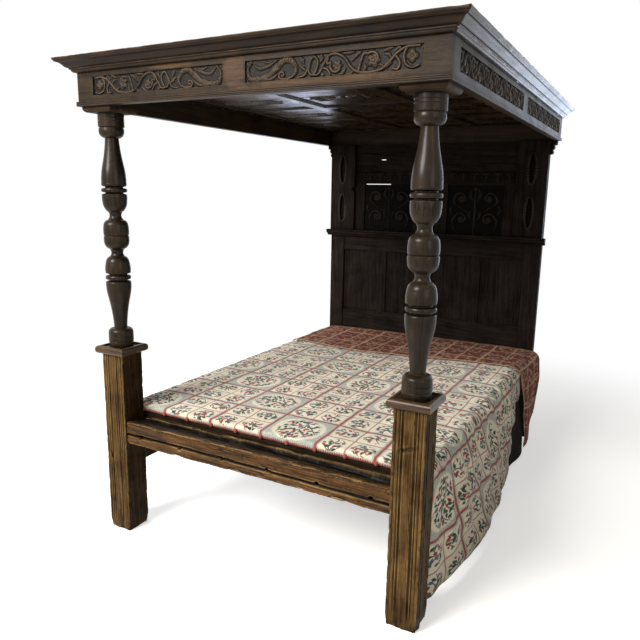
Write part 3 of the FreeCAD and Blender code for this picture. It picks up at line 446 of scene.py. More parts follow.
def double_bead(low_x, high_x, low_y, high_y, z):
    """Two half-round beads run round an opening with mitred corners, on the underside of the soffit."""
    wide, narrow = np.linspace(0, np.pi, 9), np.linspace(0, np.pi, 7)[1:]
    inward = np.concatenate([6 - 6 * np.cos(wide), 16.5 - 4.5 * np.cos(narrow), [21, 0]])
    lift = np.concatenate([6 * np.sin(wide) + 0.5, 4 * np.sin(narrow) + 0.3, [-1, -1]])
    x = np.stack([low_x + inward, high_x - inward, high_x - inward, low_x + inward])
    y = np.stack([low_y + inward, low_y + inward, high_y - inward, high_y - inward])
    points = np.stack([x, y, np.broadcast_to(z - lift, x.shape)], -1)
    return points[:, ::-1] * MM, True, True, {"raised": np.broadcast_to(lift[::-1] / 6.5, x.shape)}


# Worn pieces

# Section of the cornice from its lowest inner corner outwards and up: millimetres out, up, arris and shade;
# the shade column is painted shade, low in the hollows and rising along the cove towards the arrises
SWELL = np.linspace(0, 1, 15)
CORNICE_SECTION = np.array(
    [(0, 0, 0, 0.5), (5.5, 0, 0, 0.6), (6.8, 0.4, 1, 1.0)]
    + [(6.8 + 9.2 * np.sin(a), 0.4 + 8.6 * (1 - np.cos(a)), 0, 0.8) for a in np.linspace(0.2, np.pi / 2, 7)]
    + [(15.6, 11.0, 0, 0.1), (21.2, 11.2, 0.6, 0.7), (22.0, 12.0, 1, 1.0), (22.0, 15.2, 0.6, 0.8),
       (21.4, 16.0, 0, 0.2)]
    + [(22.0 + 34.0 * t, 16.2 + 21.0 * (t - 0.125 * np.sin(2 * np.pi * t)), 0, 0.55 + 0.3 * t) for t in SWELL[1:]]
    + [(56.4, 38.4, 0, 0.1), (60.2, 38.6, 0.6, 0.8), (61.0, 39.4, 1, 1.0), (61.0, 42.2, 0.4, 0.8)]
    + [(61.0 + 5.4 * np.sin(a), 42.4 + 7.2 * (1 - np.cos(a)), 0.2, 0.8) for a in np.linspace(0.3, np.pi / 2, 6)]
    + [(67.0, 50.6, 0.7, 1.0), (66.6, 52.4, 1, 1.1), (65.4, 53.0, 1, 1.0), (40, 53.0, 0, 0.5), (0, 53.0, 0, 0.4)])


def cornice_run(start, end, out, turns, seed):
    """The cornice's section carried from start to end in plan, with mitres where turns says so.

    The section is pushed out along out; at a mitred end each point goes as far along the run as it stands out. The
    arrises are worn in by seeded waves, and the whole run sways by a slow one.
    """
    start, end, out = (np.array(v, float) for v in (start, end, out))
    length = np.linalg.norm(end - start)
    ahead = (end - start) / length
    share = np.linspace(0, 1, int(length / 9))
    column, row = np.meshgrid(np.arange(len(CORNICE_SECTION)), share, indexing="xy")
    reach, rise, arris, shade = (CORNICE_SECTION[:, i][column] for i in range(4))
    stretch = length * row + reach * (turns[1] * row - turns[0] * (1 - row))
    worn = np.clip(uneven(stretch, rise * 6, 95.0, seed) - 0.1, 0, None) * 1.5
    worn += np.clip(uneven(stretch, rise * 3, 22.0, seed + 1) - 0.6, 0, None) * 1.6
    sway = 0.25 * (1 + uneven(stretch, rise * 9, 160.0, seed + 2)) * (reach > 1)
    reach_worn = np.clip(reach - arris * worn - sway, 0, None)
    place = start + stretch[..., None] * ahead + reach_worn[..., None] * out
    points = np.concatenate([place, (CORNICE_LOW + rise - arris * 0.4 * worn * (rise > 45))[..., None]], -1)
    # Each end closes on one point inside the section
    caps, pole_reach, pole_rise = [], 12, 45.0
    for last in (share[0], share[-1]):
        pole_run = length * last + pole_reach * (turns[1] * last - turns[0] * (1 - last))
        pole = start + pole_run * ahead + pole_reach * out
        caps.append(np.broadcast_to(np.append(pole, CORNICE_LOW + pole_rise), points[:1].shape))
    points = np.concatenate([caps[0], points, caps[1]]) * MM
    shade = shade - 0.12 * worn * arris
    return points, False, True, {"shade": np.concatenate([shade[:1], shade, shade[-1:]])}


def worn_square(half, corner, side_count):
    """Outline of a square post with rounded arrises: points, outward directions and place along each side."""
    run = np.linspace(-half + corner, half - corner, side_count)
    bend = np.linspace(0, np.pi / 2, 5)[1:-1]
    points, outward, place = [], [], []
    for side in range(4):
        turn = side * np.pi / 2
        out, along = np.array([np.cos(turn), np.sin(turn)]), np.array([-np.sin(turn), np.cos(turn)])
        points.append(out * half + run[:, None] * along)
        outward.append(np.broadcast_to(out, (side_count, 2)))
        place.append(run + 1000 * side)
        arc = np.cos(bend)[:, None] * out + np.sin(bend)[:, None] * along
        points.append((half - corner) * (out + along) + corner * arc)
        outward.append(arc)
        place.append(np.full(len(bend), half + 1000 * side))
    return np.concatenate(points), np.concatenate(outward), np.concatenate(place)


def pedestal_points(mirror, seed):
    """Square pedestal with reeds on the front and outer face, dented arrises and a rounded, chewed foot.

    The wall moves in by the reed's circular groove, by dents that grow towards the arrises, and near the floor by
    the square of the distance below the wear line.
    """
    half, height, scar_level = PEDESTAL_HALF, PEDESTAL_HEIGHT, 690
    outline, outward, place = worn_square(half, 3.5, 62)
    z = np.concatenate([np.linspace(0, 60, 13)[:-1], np.linspace(60, height, 150)])
    side, along = np.divmod(place + 500, 1000)
    along = along - 500
    grooves = np.zeros_like(along)
    for share, radius in PEDESTAL_GROOVES:
        off = along - (share - 0.5) * 2 * half
        grooves = np.maximum(grooves, np.sqrt(np.clip(radius ** 2 - off ** 2, 0, None)))
    reeded = (side == 3) | (side == 0)
    grooves = np.where(reeded, grooves, 0)
    level, ring = np.meshgrid(z, np.arange(len(place)), indexing="ij")
    edge = smooth_step(38, 60, np.abs(along))[ring]
    travel = (place % 1000 + 120 * side)[ring]
    dents = np.clip(uneven(travel, level, 60.0, seed) - 0.25, 0, None) * (0.6 + 2.6 * edge)
    dents += np.clip(uneven(travel, level, 24.0, seed + 1) - 0.5, 0, None) * 1.4 * edge
    scar = np.exp(-((along[ring] + 6) / 30) ** 4 - ((level - scar_level - 0.35 * along[ring]) / 6) ** 2)
    dents += np.where((side == 3)[ring] & (mirror > 0), 5.5 * scar, 0)
    foot = np.clip(1 - level / 55, 0, 1) ** 2 * (5 + 5 * edge + 3 * uneven(travel, level, 50.0, seed + 2))
    faded = grooves[ring] * smooth_step(20, 90, level) * (0.85 + 0.15 * uneven(travel, level, 200.0, seed + 3))
    ridges = 0.3 * (1 + uneven(travel, level / 30, 7.0, seed + 4))
    inset = np.clip(dents + foot + faded + ridges, 0, 15)
    x = outline[:, 0][ring] - inset * outward[:, 0][ring]
    y = outline[:, 1][ring] - inset * outward[:, 1][ring]
    body = np.stack([mirror * (POST_X + x), POST_Y + y, level], -1)
    low, high = (body[:1] * 0 + [mirror * POST_X, POST_Y, z_end] for z_end in (0, height))
    points = np.concatenate([low, body, high]) * MM
    # Shade mark: streaks of real tone over painted shade, with the side faces at 0.12 of the front and the grooves
    # and dents darker; the arrises a little lighter
    streaks = 0.11 * uneven(travel, level / 14, 17.0, seed + 5) + 0.10 * uneven(travel, level / 3, 70.0, seed + 6)
    shade = np.where(side == 3, 1.0, 0.12)[ring] + np.where(side == 3, 1.0, 0.4)[ring] * streaks
    shade = shade + 0.15 * edge - 0.19 * faded - 0.10 * dents
    shade = np.concatenate([shade[:1], shade, shade[-1:]])
    if mirror > 0:
        points, shade = points[::-1], shade[::-1]
    return points, False, True, {"shade": shade}


def foot_rail_points():
    """Rough squared rail: a rounded rectangle carried along x, with wandering arrises, a front groove and rope holes.

    The section's wall moves in by long waves and dents that grow at the arrises, by the round groove along the
    middle of the front, and by a deep dish at each hole.
    """
    outline, outward, place = worn_square(RAIL_HALF, 7.0, 34)
    x = np.linspace(-RAIL_END, RAIL_END, 421)
    side, along = np.divmod(place + 500, 1000)
    along = along - 500
    run, ring = np.meshgrid(x, np.arange(len(place)), indexing="ij")
    edge = smooth_step(22, RAIL_HALF, np.abs(along))[ring]
    front = (side == 2)[ring]
    travel = (place % 1000 + 104 * side)[ring]
    dents = np.clip(uneven(run * 0.6, travel, 80.0, 21) + 0.1, 0, None) * (1.2 + 7.0 * edge)
    dents += np.clip(uneven(run, travel, 30.0, 22) - 0.4, 0, None) * (0.8 + 3.0 * edge)
    level = -along[ring]
    top = (side == 1)[ring]
    groove = np.where(front, 2.0 * np.sqrt(np.clip(7.0 ** 2 - (level + 9 + 4 * np.sin(run / 260)) ** 2, 0, None)), 0)
    holes = np.zeros_like(run)
    for centre in ROPE_HOLES:
        far = np.hypot(run - centre, level + 9)
        holes = np.maximum(holes, np.where(front, 34 * (1 - smooth_step(6.5, 11.5, far)), 0))
    rightwards = 0.45 + 0.55 * (run + RAIL_END) / (2 * RAIL_END)
    worn_back = np.where(top, 26 * smooth_step(30, -42, along[ring]) * rightwards, 0)
    ridges = 1.5 * np.abs(uneven(run / 24, travel, 9.0, 23))
    ridges = ridges + 1.2 * np.clip(uneven(run / 7, travel, 11.0, 24), 0, None)
    inset = np.clip(dents, 0, 11) + groove + holes + ridges + worn_back
    y = outline[:, 0][ring] - inset * outward[:, 0][ring]
    z = outline[:, 1][ring] - inset * outward[:, 1][ring]
    sway = 2.0 * np.sin(run / 190.0 + 1.0)
    body = np.stack([run, POST_Y + y, RAIL_Z + z + sway], -1)
    ends = [np.broadcast_to(np.array([end, POST_Y, RAIL_Z]), body[:1].shape) for end in (-RAIL_END, RAIL_END)]
    points = np.concatenate([ends[0], body, ends[1]]) * MM
    # Shade mark, painted shade: the top goes black towards the back, the back and underside are dark, and the groove,
    # ridges and dents are darker
    shade = np.where(top, -0.4 + 1.4 * smooth_step(22, 47, along[ring]), np.where(front, 1.0, 0.0))
    shade = shade - 0.10 * groove - 0.16 * ridges - 0.03 * dents
    return points[::-1], False, True, {"shade": np.concatenate([shade[:1], shade, shade[-1:]])[::-1]}


# Cloths

# Metres: centre of the bed's edge roll, the cloths' distance from it, their left edge, and the coverlet's drop
ROLL_X, ROLL_Z = 0.691, 0.5283
COVER_LIFT, THROW_LIFT = 0.0466, 0.0512
CLOTH_LEFT, WEAVE_SHIFT = 0.725, 0.009
HANG_FOOT, HANG_RUN = -0.912, 1.630
THROW_SPREAD, FOLD_SHADOW_THICKNESS = 0.036, 0.0012


def bed_top(x, y):
    """Rise of the bed's soft top over its edge: two parabolas multiplied, flat at the sides, plus slow hollows."""
    across = np.clip(1 - (x / ROLL_X) ** 2, 0, 1)
    lengthwise = smooth_step(-0.93, -0.62, y)
    return 0.0081 * np.sqrt(across) * lengthwise - 0.0022 * across * lengthwise * (1 + uneven(x, y, 0.55, 31))


def over_the_side(across, lift):
    """Section over the bed's right side: flat to the edge roll, a quarter turn round it, then the drop.

    across runs from 0 to 1 on the top, to 2 round the roll and to 3 down the drop. The left end follows the left
    roll. Gives x, z and the share of the drop.
    """
    x = -CLOTH_LEFT + (ROLL_X + CLOTH_LEFT) * np.clip(across, 0, 1)
    left = np.clip(-ROLL_X - x, 0, None)
    z = ROLL_Z + np.sqrt(lift ** 2 - left ** 2)
    turn = np.clip(across - 1, 0, 1) * np.pi / 2
    x = np.where(across > 1, ROLL_X + lift * np.sin(turn), x)
    z = np.where(across > 1, ROLL_Z + lift * np.cos(turn), z)
    return x, z, np.clip(across - 2, 0, 1)


def cloth_run(points):
    """Length along each column direction of a grid, from its first column."""
    steps = np.linalg.norm(np.diff(points, axis=1), axis=-1)
    return np.concatenate([np.zeros((len(points), 1)), np.cumsum(steps, 1)], 1)


def coverlet_points(column, row):
    """Coverlet: over the foot board, along the bed and down the right side to a flared hem.

    Rows run from the foot hem to the head; the first ones turn down over the foot board by a quarter circle. The
    hem's distance from the bed follows a skewed bell curve, so that the drop stands out in one long fold with sine
    flutes in it; its head corner is turned under along a slanting line. Each square of the weave is puckered by a
    product of two sines.
    """
    fall, turn_radius, rows = 0.0165, 0.010, 202
    tuck = np.linspace(0, np.pi / 2, 7)
    foot_y = np.concatenate([np.full(3, -0.9188), -0.9088 - turn_radius * np.cos(tuck),
                             np.linspace(-0.9, 0.72, rows)])
    foot_drop = np.concatenate([np.linspace(-fall - turn_radius, -turn_radius, 4)[:3],
                                -turn_radius + turn_radius * np.sin(tuck), np.zeros(rows)])
    run = np.concatenate([[0], np.cumsum(np.hypot(np.diff(foot_y), np.diff(foot_drop)))])
    across = np.concatenate([np.linspace(0, 1, 150)[:-1], np.linspace(1, 2, 13)[:-1], np.linspace(2, 3, 58)])
    a, lengthwise = np.meshgrid(across, run, indexing="xy")
    y = np.broadcast_to(foot_y[:, None], a.shape)
    down = np.broadcast_to(foot_drop[:, None], a.shape)
    x, z, drop = over_the_side(a, COVER_LIFT)
    free = smooth_step(0.985, 1.35, a)
    share = lengthwise / run[-1]
    swing = 0.17 * drop * smooth_step(0, 0.22, share) * (1 - smooth_step(0.32, 0.85, share))
    hanging_y = HANG_FOOT + share * HANG_RUN + swing
    y = y * (1 - free) + hanging_y * free
    z = z + down * (1 - free) + bed_top(x, y) * (a <= 1)
    turned_under = smooth_line([(0.02, 0.030), (0.12, 0.031), (0.20, 0.037), (0.28, 0.066), (0.37, 0.118),
                                (0.47, 0.180), (0.59, 0.284), (0.65, 0.348), (0.706, 0.411), (0.74, 0.450)], 240)
    corner = np.interp(share * HANG_RUN + HANG_FOOT, *turned_under.T)
    hem_z = np.maximum(0.032 + 0.004 * np.sin(hanging_y * 7), corner)
    drop_z = ROLL_Z + (hem_z - ROLL_Z) * drop
    fallen = (ROLL_Z - drop_z) / (ROLL_Z - 0.034)
    spread = np.where(hanging_y < -0.38, 0.33, 0.75)
    hem_x = 0.747 + 0.075 * np.exp(-((hanging_y + 0.38) / spread) ** 2)
    flutes = np.sin(hanging_y * 19 + 1.3 * np.sin(hanging_y * 5.3) + 1.8 * fallen)
    fold = (0.014 * flutes + 0.010 * uneven(hanging_y, fallen * 0.5, 0.17, 33)) * fallen * (1.12 - fallen) * 2.2
    gather = 0.020 * np.cos((hanging_y + 0.60 - 0.10 * drop) * 2 * np.pi / 0.17)
    gather = gather * np.exp(-((hanging_y + 0.60) / 0.19) ** 2)
    hang_x = ROLL_X + COVER_LIFT + (hem_x - ROLL_X - COVER_LIFT) * fallen ** 0.85
    hang_x = hang_x + (fold + gather * np.sqrt(fallen) * (1 - 0.85 * fallen)) * smooth_step(0.86, 0.70, -hanging_y)
    hang_x = hang_x - 0.030 * np.exp(-((hanging_y - HANG_FOOT) / 0.035) ** 2) * smooth_step(0.12, 0.4, fallen)
    hang_x = hang_x - 0.016 * np.clip(1 - (drop_z - hem_z) / 0.06, 0, 1) ** 2
    crumple = 0.0045 * uneven(y, a * 0.10, 0.075, 36) * smooth_step(0.93, 1.25, a) * (1 - smooth_step(2.1, 2.7, a))
    crumple = crumple * (1 - smooth_step(0.50, 0.60, y))
    hanging = a > 2
    x = np.where(hanging, hang_x, x) + crumple * smooth_step(1.2, 1.9, a)
    z = np.where(hanging, drop_z, z + crumple * (1 - smooth_step(1.2, 1.9, a)))
    points = np.stack([x, y, z], -1)
    width = cloth_run(points)
    weave = np.stack([width - CLOTH_LEFT - WEAVE_SHIFT, lengthwise], -1)
    pucker = np.abs(np.sin(np.pi * weave[..., 0] / column) * np.sin(np.pi * weave[..., 1] / row)) ** 0.7
    covered = smooth_step(-0.015, 0.02, y - throw_front(x))
    lift = 0.0030 * pucker + 0.0009 * uneven(weave[..., 0], weave[..., 1], 0.05, 35)
    lift = lift * (1 - covered) - 0.0012 * covered
    points[..., 2] += lift * (a <= 1.3)
    points[..., 0] += lift * (a > 1.3)
    to_hem = width[:, -1:] - width + 0.02 * smooth_step(0.62, 0.70, share)
    return points[::-1], False, False, {"weave": weave[::-1], "to_hem": to_hem[::-1]}


def throw_front(x):
    """Wandering front edge of the head throw."""
    line = smooth_line([(-0.73, 0.556), (-0.50, 0.5065), (-0.27, 0.470), (0.04, 0.5055), (0.27, 0.5575),
                        (0.61, 0.6065), (0.80, 0.612)], 400)
    return np.interp(x, line[:, 0], line[:, 1])


def throw_points():
    """Head throw: across the head of the bed, with one corner that hangs down the right side.

    The grid runs from the front edge to the headboard. Towards the headboard the cloth stands out past the bed's
    edge; on the drop its front edge swings back and its hem rises to the headboard, which leaves a blunt corner.
    """
    across = np.concatenate([np.linspace(0, 1, 130)[:-1], np.linspace(1, 2, 15)[:-1], np.linspace(2, 3, 64)])
    along = np.concatenate([[0, 0.006, 0.014], np.linspace(0.024, 1, 70)])
    a, b = np.meshgrid(across, along, indexing="xy")
    x, z, drop = over_the_side(a, THROW_LIFT)
    out = smooth_step(0.15, 0.95, b)
    x = x + THROW_SPREAD * out * smooth_step(0.80, 1.0, a)
    side = smooth_step(1.0, 2.1, a)
    hanging_front = np.interp(drop, (0, 0.3, 0.68, 0.9, 1), (0.650, 0.68, 0.745, 0.760, 0.735))
    front = throw_front(x) * (1 - side) + side * hanging_front
    back = 1.0800 - side * np.interp(drop, (0, 0.4, 1), (0.015, 0.03, 0.05))
    y = front + (back - front) * b
    hem_z = np.interp(b, (0, 0.06, 0.2, 0.45, 0.85, 1), (0.085, 0.062, 0.070, 0.115, 0.215, 0.345))
    near_x = np.interp(drop, (0, 0.3, 0.7, 1), (ROLL_X + THROW_LIFT, 0.762, 0.772, 0.780))
    hang_x = near_x * (1 - out) + (ROLL_X + THROW_LIFT + THROW_SPREAD + 0.006 * np.sin(np.pi * drop)) * out
    hang_x = hang_x + 0.006 * np.sin(y * 30 + 2.0 * drop) * smooth_step(0.05, 0.6, drop)
    hanging = a > 2
    x = np.where(hanging, hang_x, x)
    z = np.where(hanging, ROLL_Z + (hem_z - ROLL_Z) * drop, z)
    to_edge = np.minimum(b, 1 - b) * (back - front)
    cord = 0.0035 * np.sqrt(np.clip(1 - (to_edge / 0.008 - 0.7) ** 2, 0, 1)) * (b < 0.5)
    points = np.stack([x, y, z], -1)
    waves = 0.0012 * (1 + uneven(x, y, 0.12, 41)) + 0.0014 * (1 + uneven(x, y, 0.3, 42))
    points[..., 2] += (bed_top(x, y) + np.clip(waves, 0, None)) * (a <= 1) + cord * (a <= 1.5)
    points[..., 0] += cord * (a > 1.5)
    weave = np.stack([cloth_run(points) - CLOTH_LEFT, y], -1)
    return points[::-1], False, False, {"weave": weave[::-1], "to_edge": to_edge[::-1]}


def fold_shadow_points():
    """Near black sheet that paints the shadow inside the throw's fold: tucked under the mattress, a quarter turn over
    its edge, then straight down behind the coverlet's turned corner, with slow waves."""
    turn = np.linspace(0, np.pi / 2, 6)
    fall = np.linspace(0, 1, 40)[1:]
    x = np.concatenate([[0.682, 0.700], 0.716 + 0.014 * np.sin(turn), 0.730 + 0.018 * fall])
    z = np.concatenate([[0.5185, 0.5185], 0.5045 + 0.014 * np.cos(turn), 0.5045 - 0.4825 * fall])
    share = np.concatenate([np.zeros(8), fall])
    along = np.linspace(0, 1, 60)
    across, b = np.meshgrid(np.arange(len(x)), along, indexing="xy")
    y = 0.16 + (0.66 - 0.05 * share[across] ** 3) * b
    out = (0.004 * np.sin(y * 21) + 0.020 * smooth_step(0.55, 1.0, b)) * share[across]
    points = np.stack([x[across] + out, y, z[across]], -1)
    return points[::-1], False, False, {"weave": np.stack([cloth_run(points), y], -1)[::-1]}


def hem_knots(column):
    """Small ball tufts along the foot hem, one to a column: a squashed ball's circles over its angle."""
    turn, rise = np.meshgrid(np.linspace(0, 2 * np.pi, 13)[:-1], np.linspace(-np.pi / 2, np.pi / 2, 9), indexing="xy")
    half_width, half_depth, half_height, hem_y, hem_z = 0.0085, 0.0070, 0.0095, -0.9240, 0.5560
    balls = []
    for number in range(-5, 6):
        x = WEAVE_SHIFT + number * column + 0.003 * math.sin(number * 5)
        y = hem_y + half_depth * np.cos(rise) * np.sin(turn)
        ball = np.stack([x + half_width * np.cos(rise) * np.cos(turn), y, hem_z + half_height * np.sin(rise)], -1)
        balls.append((ball.transpose(1, 0, 2), True, False, {}))
    return balls


def mattress_points(shrink):
    """Thin mattress: sections across the bed with rolled edges, carried along y and closed at both ends."""
    half, low, edge = 0.735 - shrink, 0.5203 + 0.0005, 0.0232
    y = np.concatenate([[-0.8862], np.linspace(-0.885 + shrink, 1.084 - shrink, 130), [1.0845]])
    turn = np.linspace(0, 2 * np.pi, 240, endpoint=False)
    cos, sin = np.cos(turn), np.sin(turn)
    x = half * np.sign(cos) * np.abs(cos) ** 0.12
    height = edge + edge * np.sign(sin) * np.abs(sin) ** 0.30
    points = np.stack(np.broadcast_arrays(x[None], y[:, None], low + height[None]), -1).copy()
    points[[0, -1], :, 0] *= 0.98
    points[[0, -1], :, 2] = low + edge
    return points


def fill_cover(scene, cover, skin, most):
    """Blow up a cover: an even skin of that cell size under pressure without weight, for 20 frames.

    Each point then stands where the pressure took it, but no further than most from its start.
    """
    remesh = cover.modifiers.new("Skin", "REMESH")
    remesh.mode, remesh.voxel_size, remesh.use_smooth_shade = "VOXEL", skin, True
    sewn = bpy.data.meshes.new_from_object(cover.evaluated_get(bpy.context.evaluated_depsgraph_get()))
    cover.modifiers.clear()
    cover.data = sewn
    filling = cover.modifiers.new("Filling", "CLOTH")
    filling.settings.use_pressure = True
    filling.settings.uniform_pressure_force = 4.0
    filling.settings.effector_weights.gravity = 0.0
    filling.point_cache.frame_start, filling.point_cache.frame_end = 1, 20
    for number in range(1, 21):
        scene.frame_set(number)
    blown = cover.evaluated_get(bpy.context.evaluated_depsgraph_get()).data
    before, after = np.empty(3 * len(sewn.vertices)), np.empty(3 * len(sewn.vertices))
    sewn.vertices.foreach_get("co", before)
    blown.vertices.foreach_get("co", after)
    cover.modifiers.clear()
    scene.frame_set(1)
    moved = (after - before).reshape(-1, 3)
    far = np.linalg.norm(moved, axis=1, keepdims=True)
    moved = moved * np.minimum(1, most / np.maximum(far, 1e-9))
    sewn.vertices.foreach_set("co", before + moved.ravel())
    sewn.update()
    finer = cover.modifiers.new("Finer", "SUBSURF")
    finer.levels = finer.render_levels = 1


# Materials

def add(tree, kind, *inputs, out=0, steps=None, **settings):
    """Add one shader node and give the output that out names, or all its outputs.

    kind is the node's type, with its operation or data type after a space. Inputs are values or other nodes'
    outputs, in the order of the sockets in use, or in one dictionary by socket. steps are the places and colours of
    a stepped ramp.
    """
    kind, _, mode = kind.partition(" ")
    node = tree.nodes.new("ShaderNode" + kind)
    if mode:
        settings["data_type" if kind == "Mix" else "operation"] = mode
    for name, value in settings.items():
        setattr(node, name, value)
    if steps:
        stops = node.color_ramp.elements
        while len(stops) < len(steps):
            stops.new(1.0)
        for stop, (place, colour) in zip(stops, steps):
            stop.position, stop.color = place, (*colour, 1.0)
        node.color_ramp.interpolation = "CONSTANT"
    used = [socket for socket in node.inputs if socket.enabled]
    named = inputs[0] if inputs and isinstance(inputs[0], dict) else dict(enumerate(inputs))
    for name, value in named.items():
        socket = node.inputs[name] if isinstance(name, str) else used[name]
        if isinstance(value, bpy.types.NodeSocket):
            tree.links.new(value, socket)
        elif socket.type == "RGBA":
            socket.default_value = (*value[:3], 1.0)
        else:
            socket.default_value = value
    if out is None:
        return node.outputs
    return node.outputs[out] if isinstance(out, str) else [socket for socket in node.outputs if socket.enabled][out]


def new_material(name):
    """A material with no nodes yet, and its tree."""
    material = bpy.data.materials.new(name)
    material.use_nodes = True
    material.node_tree.nodes.clear()
    return material, material.node_tree


def woven_surface(tree, colour, height, strength, depth, rough, finish):
    """Matt surface of a cloth: its colour, with bumps up to depth metres high and the other sockets in finish."""
    bump = add(tree, "Bump", {"Strength": strength, "Distance": depth, "Height": height})
    surface = add(tree, "BsdfPrincipled", {"Base Color": colour, "Normal": bump, "Roughness": rough, **finish})
    add(tree, "OutputMaterial", {"Surface": surface}, out=None)


# How a mesh's own mark darkens its oak: from the mark's low and high value to a low and high share of the colour.
# Carved oak is dark in its ground, incised oak in its lines, faint oak hardly at all; worn oak goes by its shade
# mark,
# which is mostly painted shade: faces turned from the light, grooves, dents and hollows are darker, with real streaks
# of tone on the pedestals
MARK_LIMITS = {"carved": (0.08, 0.70, 0.16, 1.2), "incised": (0.12, 0.5, 1.0, 0.22), "faint": (0.08, 0.70, 0.55, 1.0),
               "worn": (-0.35, 1.0, 0.03, 1.15)}


def oak(name, grain, tones, rough, shine, wear=0.5, coat=0.0, bump=0.35, cracks=0.5, shaped=None, bare=None,
        patches=(), arris_width=2.0, fibres=0.12, spread=(0.70, 1.16)):
    """Oak board or turning, cut along the axis that grain names; tones are its dark, light and worn colours.

    To the eye: long brown figure 28 mm wide, growth lines, stains as large as a hand, open pores and drying cracks
    that hold dirt, arrises worn paler, and a wax shine. Painted shade darkens the corners and hollows, where ambient
    occlusion finds the wood closed in, and any coat thins there; on the caps, pedestals and notched borders the pale
    arrises are also a painted highlight. shaped is for meshes with worn edges of their own and names a row of
    MARK_LIMITS. patches are centres and half sizes of spots in the bare colour, arris_width is in millimetres, fibres
    is the strength of fine streaks, and spread holds the ends of the range from dark to light.
    """
    dark, light, worn = tones
    material, tree = new_material(name)
    place = add(tree, "TexCoord", out="Object")
    stretch = {"x": (1 / 16, 1, 1), "y": (1, 1 / 16, 1), "z": (1, 1, 1 / 16)}[grain]
    fibre = add(tree, "VectorMath MULTIPLY", place, stretch)
    figure = add(tree, "TexNoise", {"Vector": fibre, "Scale": 1000 / 28, "Detail": 6.0, "Roughness": 0.66,
                                    "Distortion": 0.4})
    growth = add(tree, "TexWave", {"Vector": fibre, "Scale": 314 / 9 / 1.7, "Distortion": 9.0, "Detail": 3.0,
                                   "Detail Scale": 1.4}, bands_direction="DIAGONAL", out=1)
    stain = add(tree, "TexNoise", {"Vector": place, "Scale": 1000 / 110, "Detail": 5.0, "Roughness": 0.58})
    # Real pores are about 0.3 mm wide; drawn 1.6 mm wide so that they show
    pores = add(tree, "TexNoise", {"Vector": fibre, "Scale": 1000 / 1.6, "Detail": 2.0})
    cut = add(tree, "MapRange", pores, 0.54, 0.70)
    split = add(tree, "TexNoise", {"Vector": fibre, "Scale": 1000 / 46, "Detail": 3.0, "Distortion": 0.2}, out=1)
    split = add(tree, "SeparateColor", split, out=1)
    middle = add(tree, "Math SUBTRACT", split, 0.5)
    off_split = add(tree, "Math ABSOLUTE", middle)
    line = add(tree, "MapRange", off_split, 0.010, 0.003, 0.0, cracks)
    some = add(tree, "MapRange", stain, 0.50, 0.56)
    crack = add(tree, "Math MULTIPLY", line, some)
    blend = add(tree, "Math MULTIPLY_ADD", growth, 0.14, figure)
    blend = add(tree, "Math MULTIPLY_ADD", stain, 0.75, blend)
    # Fibres 5 mm wide and 80 mm long
    strands = add(tree, "TexNoise", {"Vector": fibre, "Scale": 1000 / 5, "Detail": 2.0, "Roughness": 0.6})
    centred = add(tree, "Math SUBTRACT", strands, 0.5)
    blend = add(tree, "Math MULTIPLY_ADD", centred, 4.0 * fibres, blend)
    tone = add(tree, "MapRange", blend, *spread)
    colour = add(tree, "Mix RGBA", tone, dark, light)
    if bare is not None:
        nearest = None
        for centre, size in patches:
            off = add(tree, "VectorMath SUBTRACT", place, centre)
            scaled = add(tree, "VectorMath MULTIPLY", off, tuple(1 / s for s in size))
            far = add(tree, "VectorMath LENGTH", scaled)
            nearest = far if nearest is None else add(tree, "Math MINIMUM", nearest, far)
        ragged = add(tree, "TexNoise", {"Vector": place, "Scale": 1000 / 42, "Detail": 6.0, "Roughness": 0.65})
        reach = add(tree, "Math MULTIPLY_ADD", ragged, -2.4, nearest)
        gone = add(tree, "MapRange", reach, -0.10, -0.55, 0.0, 0.75)
        rubbed_wood = add(tree, "Mix RGBA", tone, tint(bare, 0.45), bare)
        colour = add(tree, "Mix RGBA", gone, colour, rubbed_wood)
    pore_share = add(tree, "Math MULTIPLY", cut, 0.5)
    dirt = add(tree, "Math MAXIMUM", pore_share, crack)
    straight = add(tree, "NewGeometry", out=None)
    if shaped is None:
        # Arrises: where the rounded normal leaves the face's own normal, the wood is worn paler; on the caps this
        # paler edge is a painted highlight as well
        normal = add(tree, "Bevel", {"Radius": arris_width * MM}, samples=4)
        agree = add(tree, "VectorMath DOT_PRODUCT", normal, straight["Normal"])
        arris = add(tree, "MapRange", agree, 0.995, 0.88)
    else:
        normal = straight["Normal"]
        arris = add(tree, "MapRange", straight["Pointiness"], 0.505, 0.58)
        # A shade mark is painted shade; a raised mark darkens the carving's ground
        mark = add(tree, "Attribute", attribute_name="shade" if shaped == "worn" else "raised", out="Fac")
        depth = add(tree, "MapRange", mark, *MARK_LIMITS[shaped])
        colour = add(tree, "VectorMath SCALE", colour, depth)
    # Paler arrises: wear, and on the caps, pedestals and notched borders a painted highlight as well
    worn_and_glinting = add(tree, "MapRange", stain, 0.36, 0.66, 0.15 * wear, wear)
    edge = add(tree, "Math MULTIPLY", arris, worn_and_glinting)
    colour = add(tree, "Mix RGBA", edge, colour, worn)
    colour = add(tree, "Mix RGBA", dirt, colour, tint(dark, 0.3))
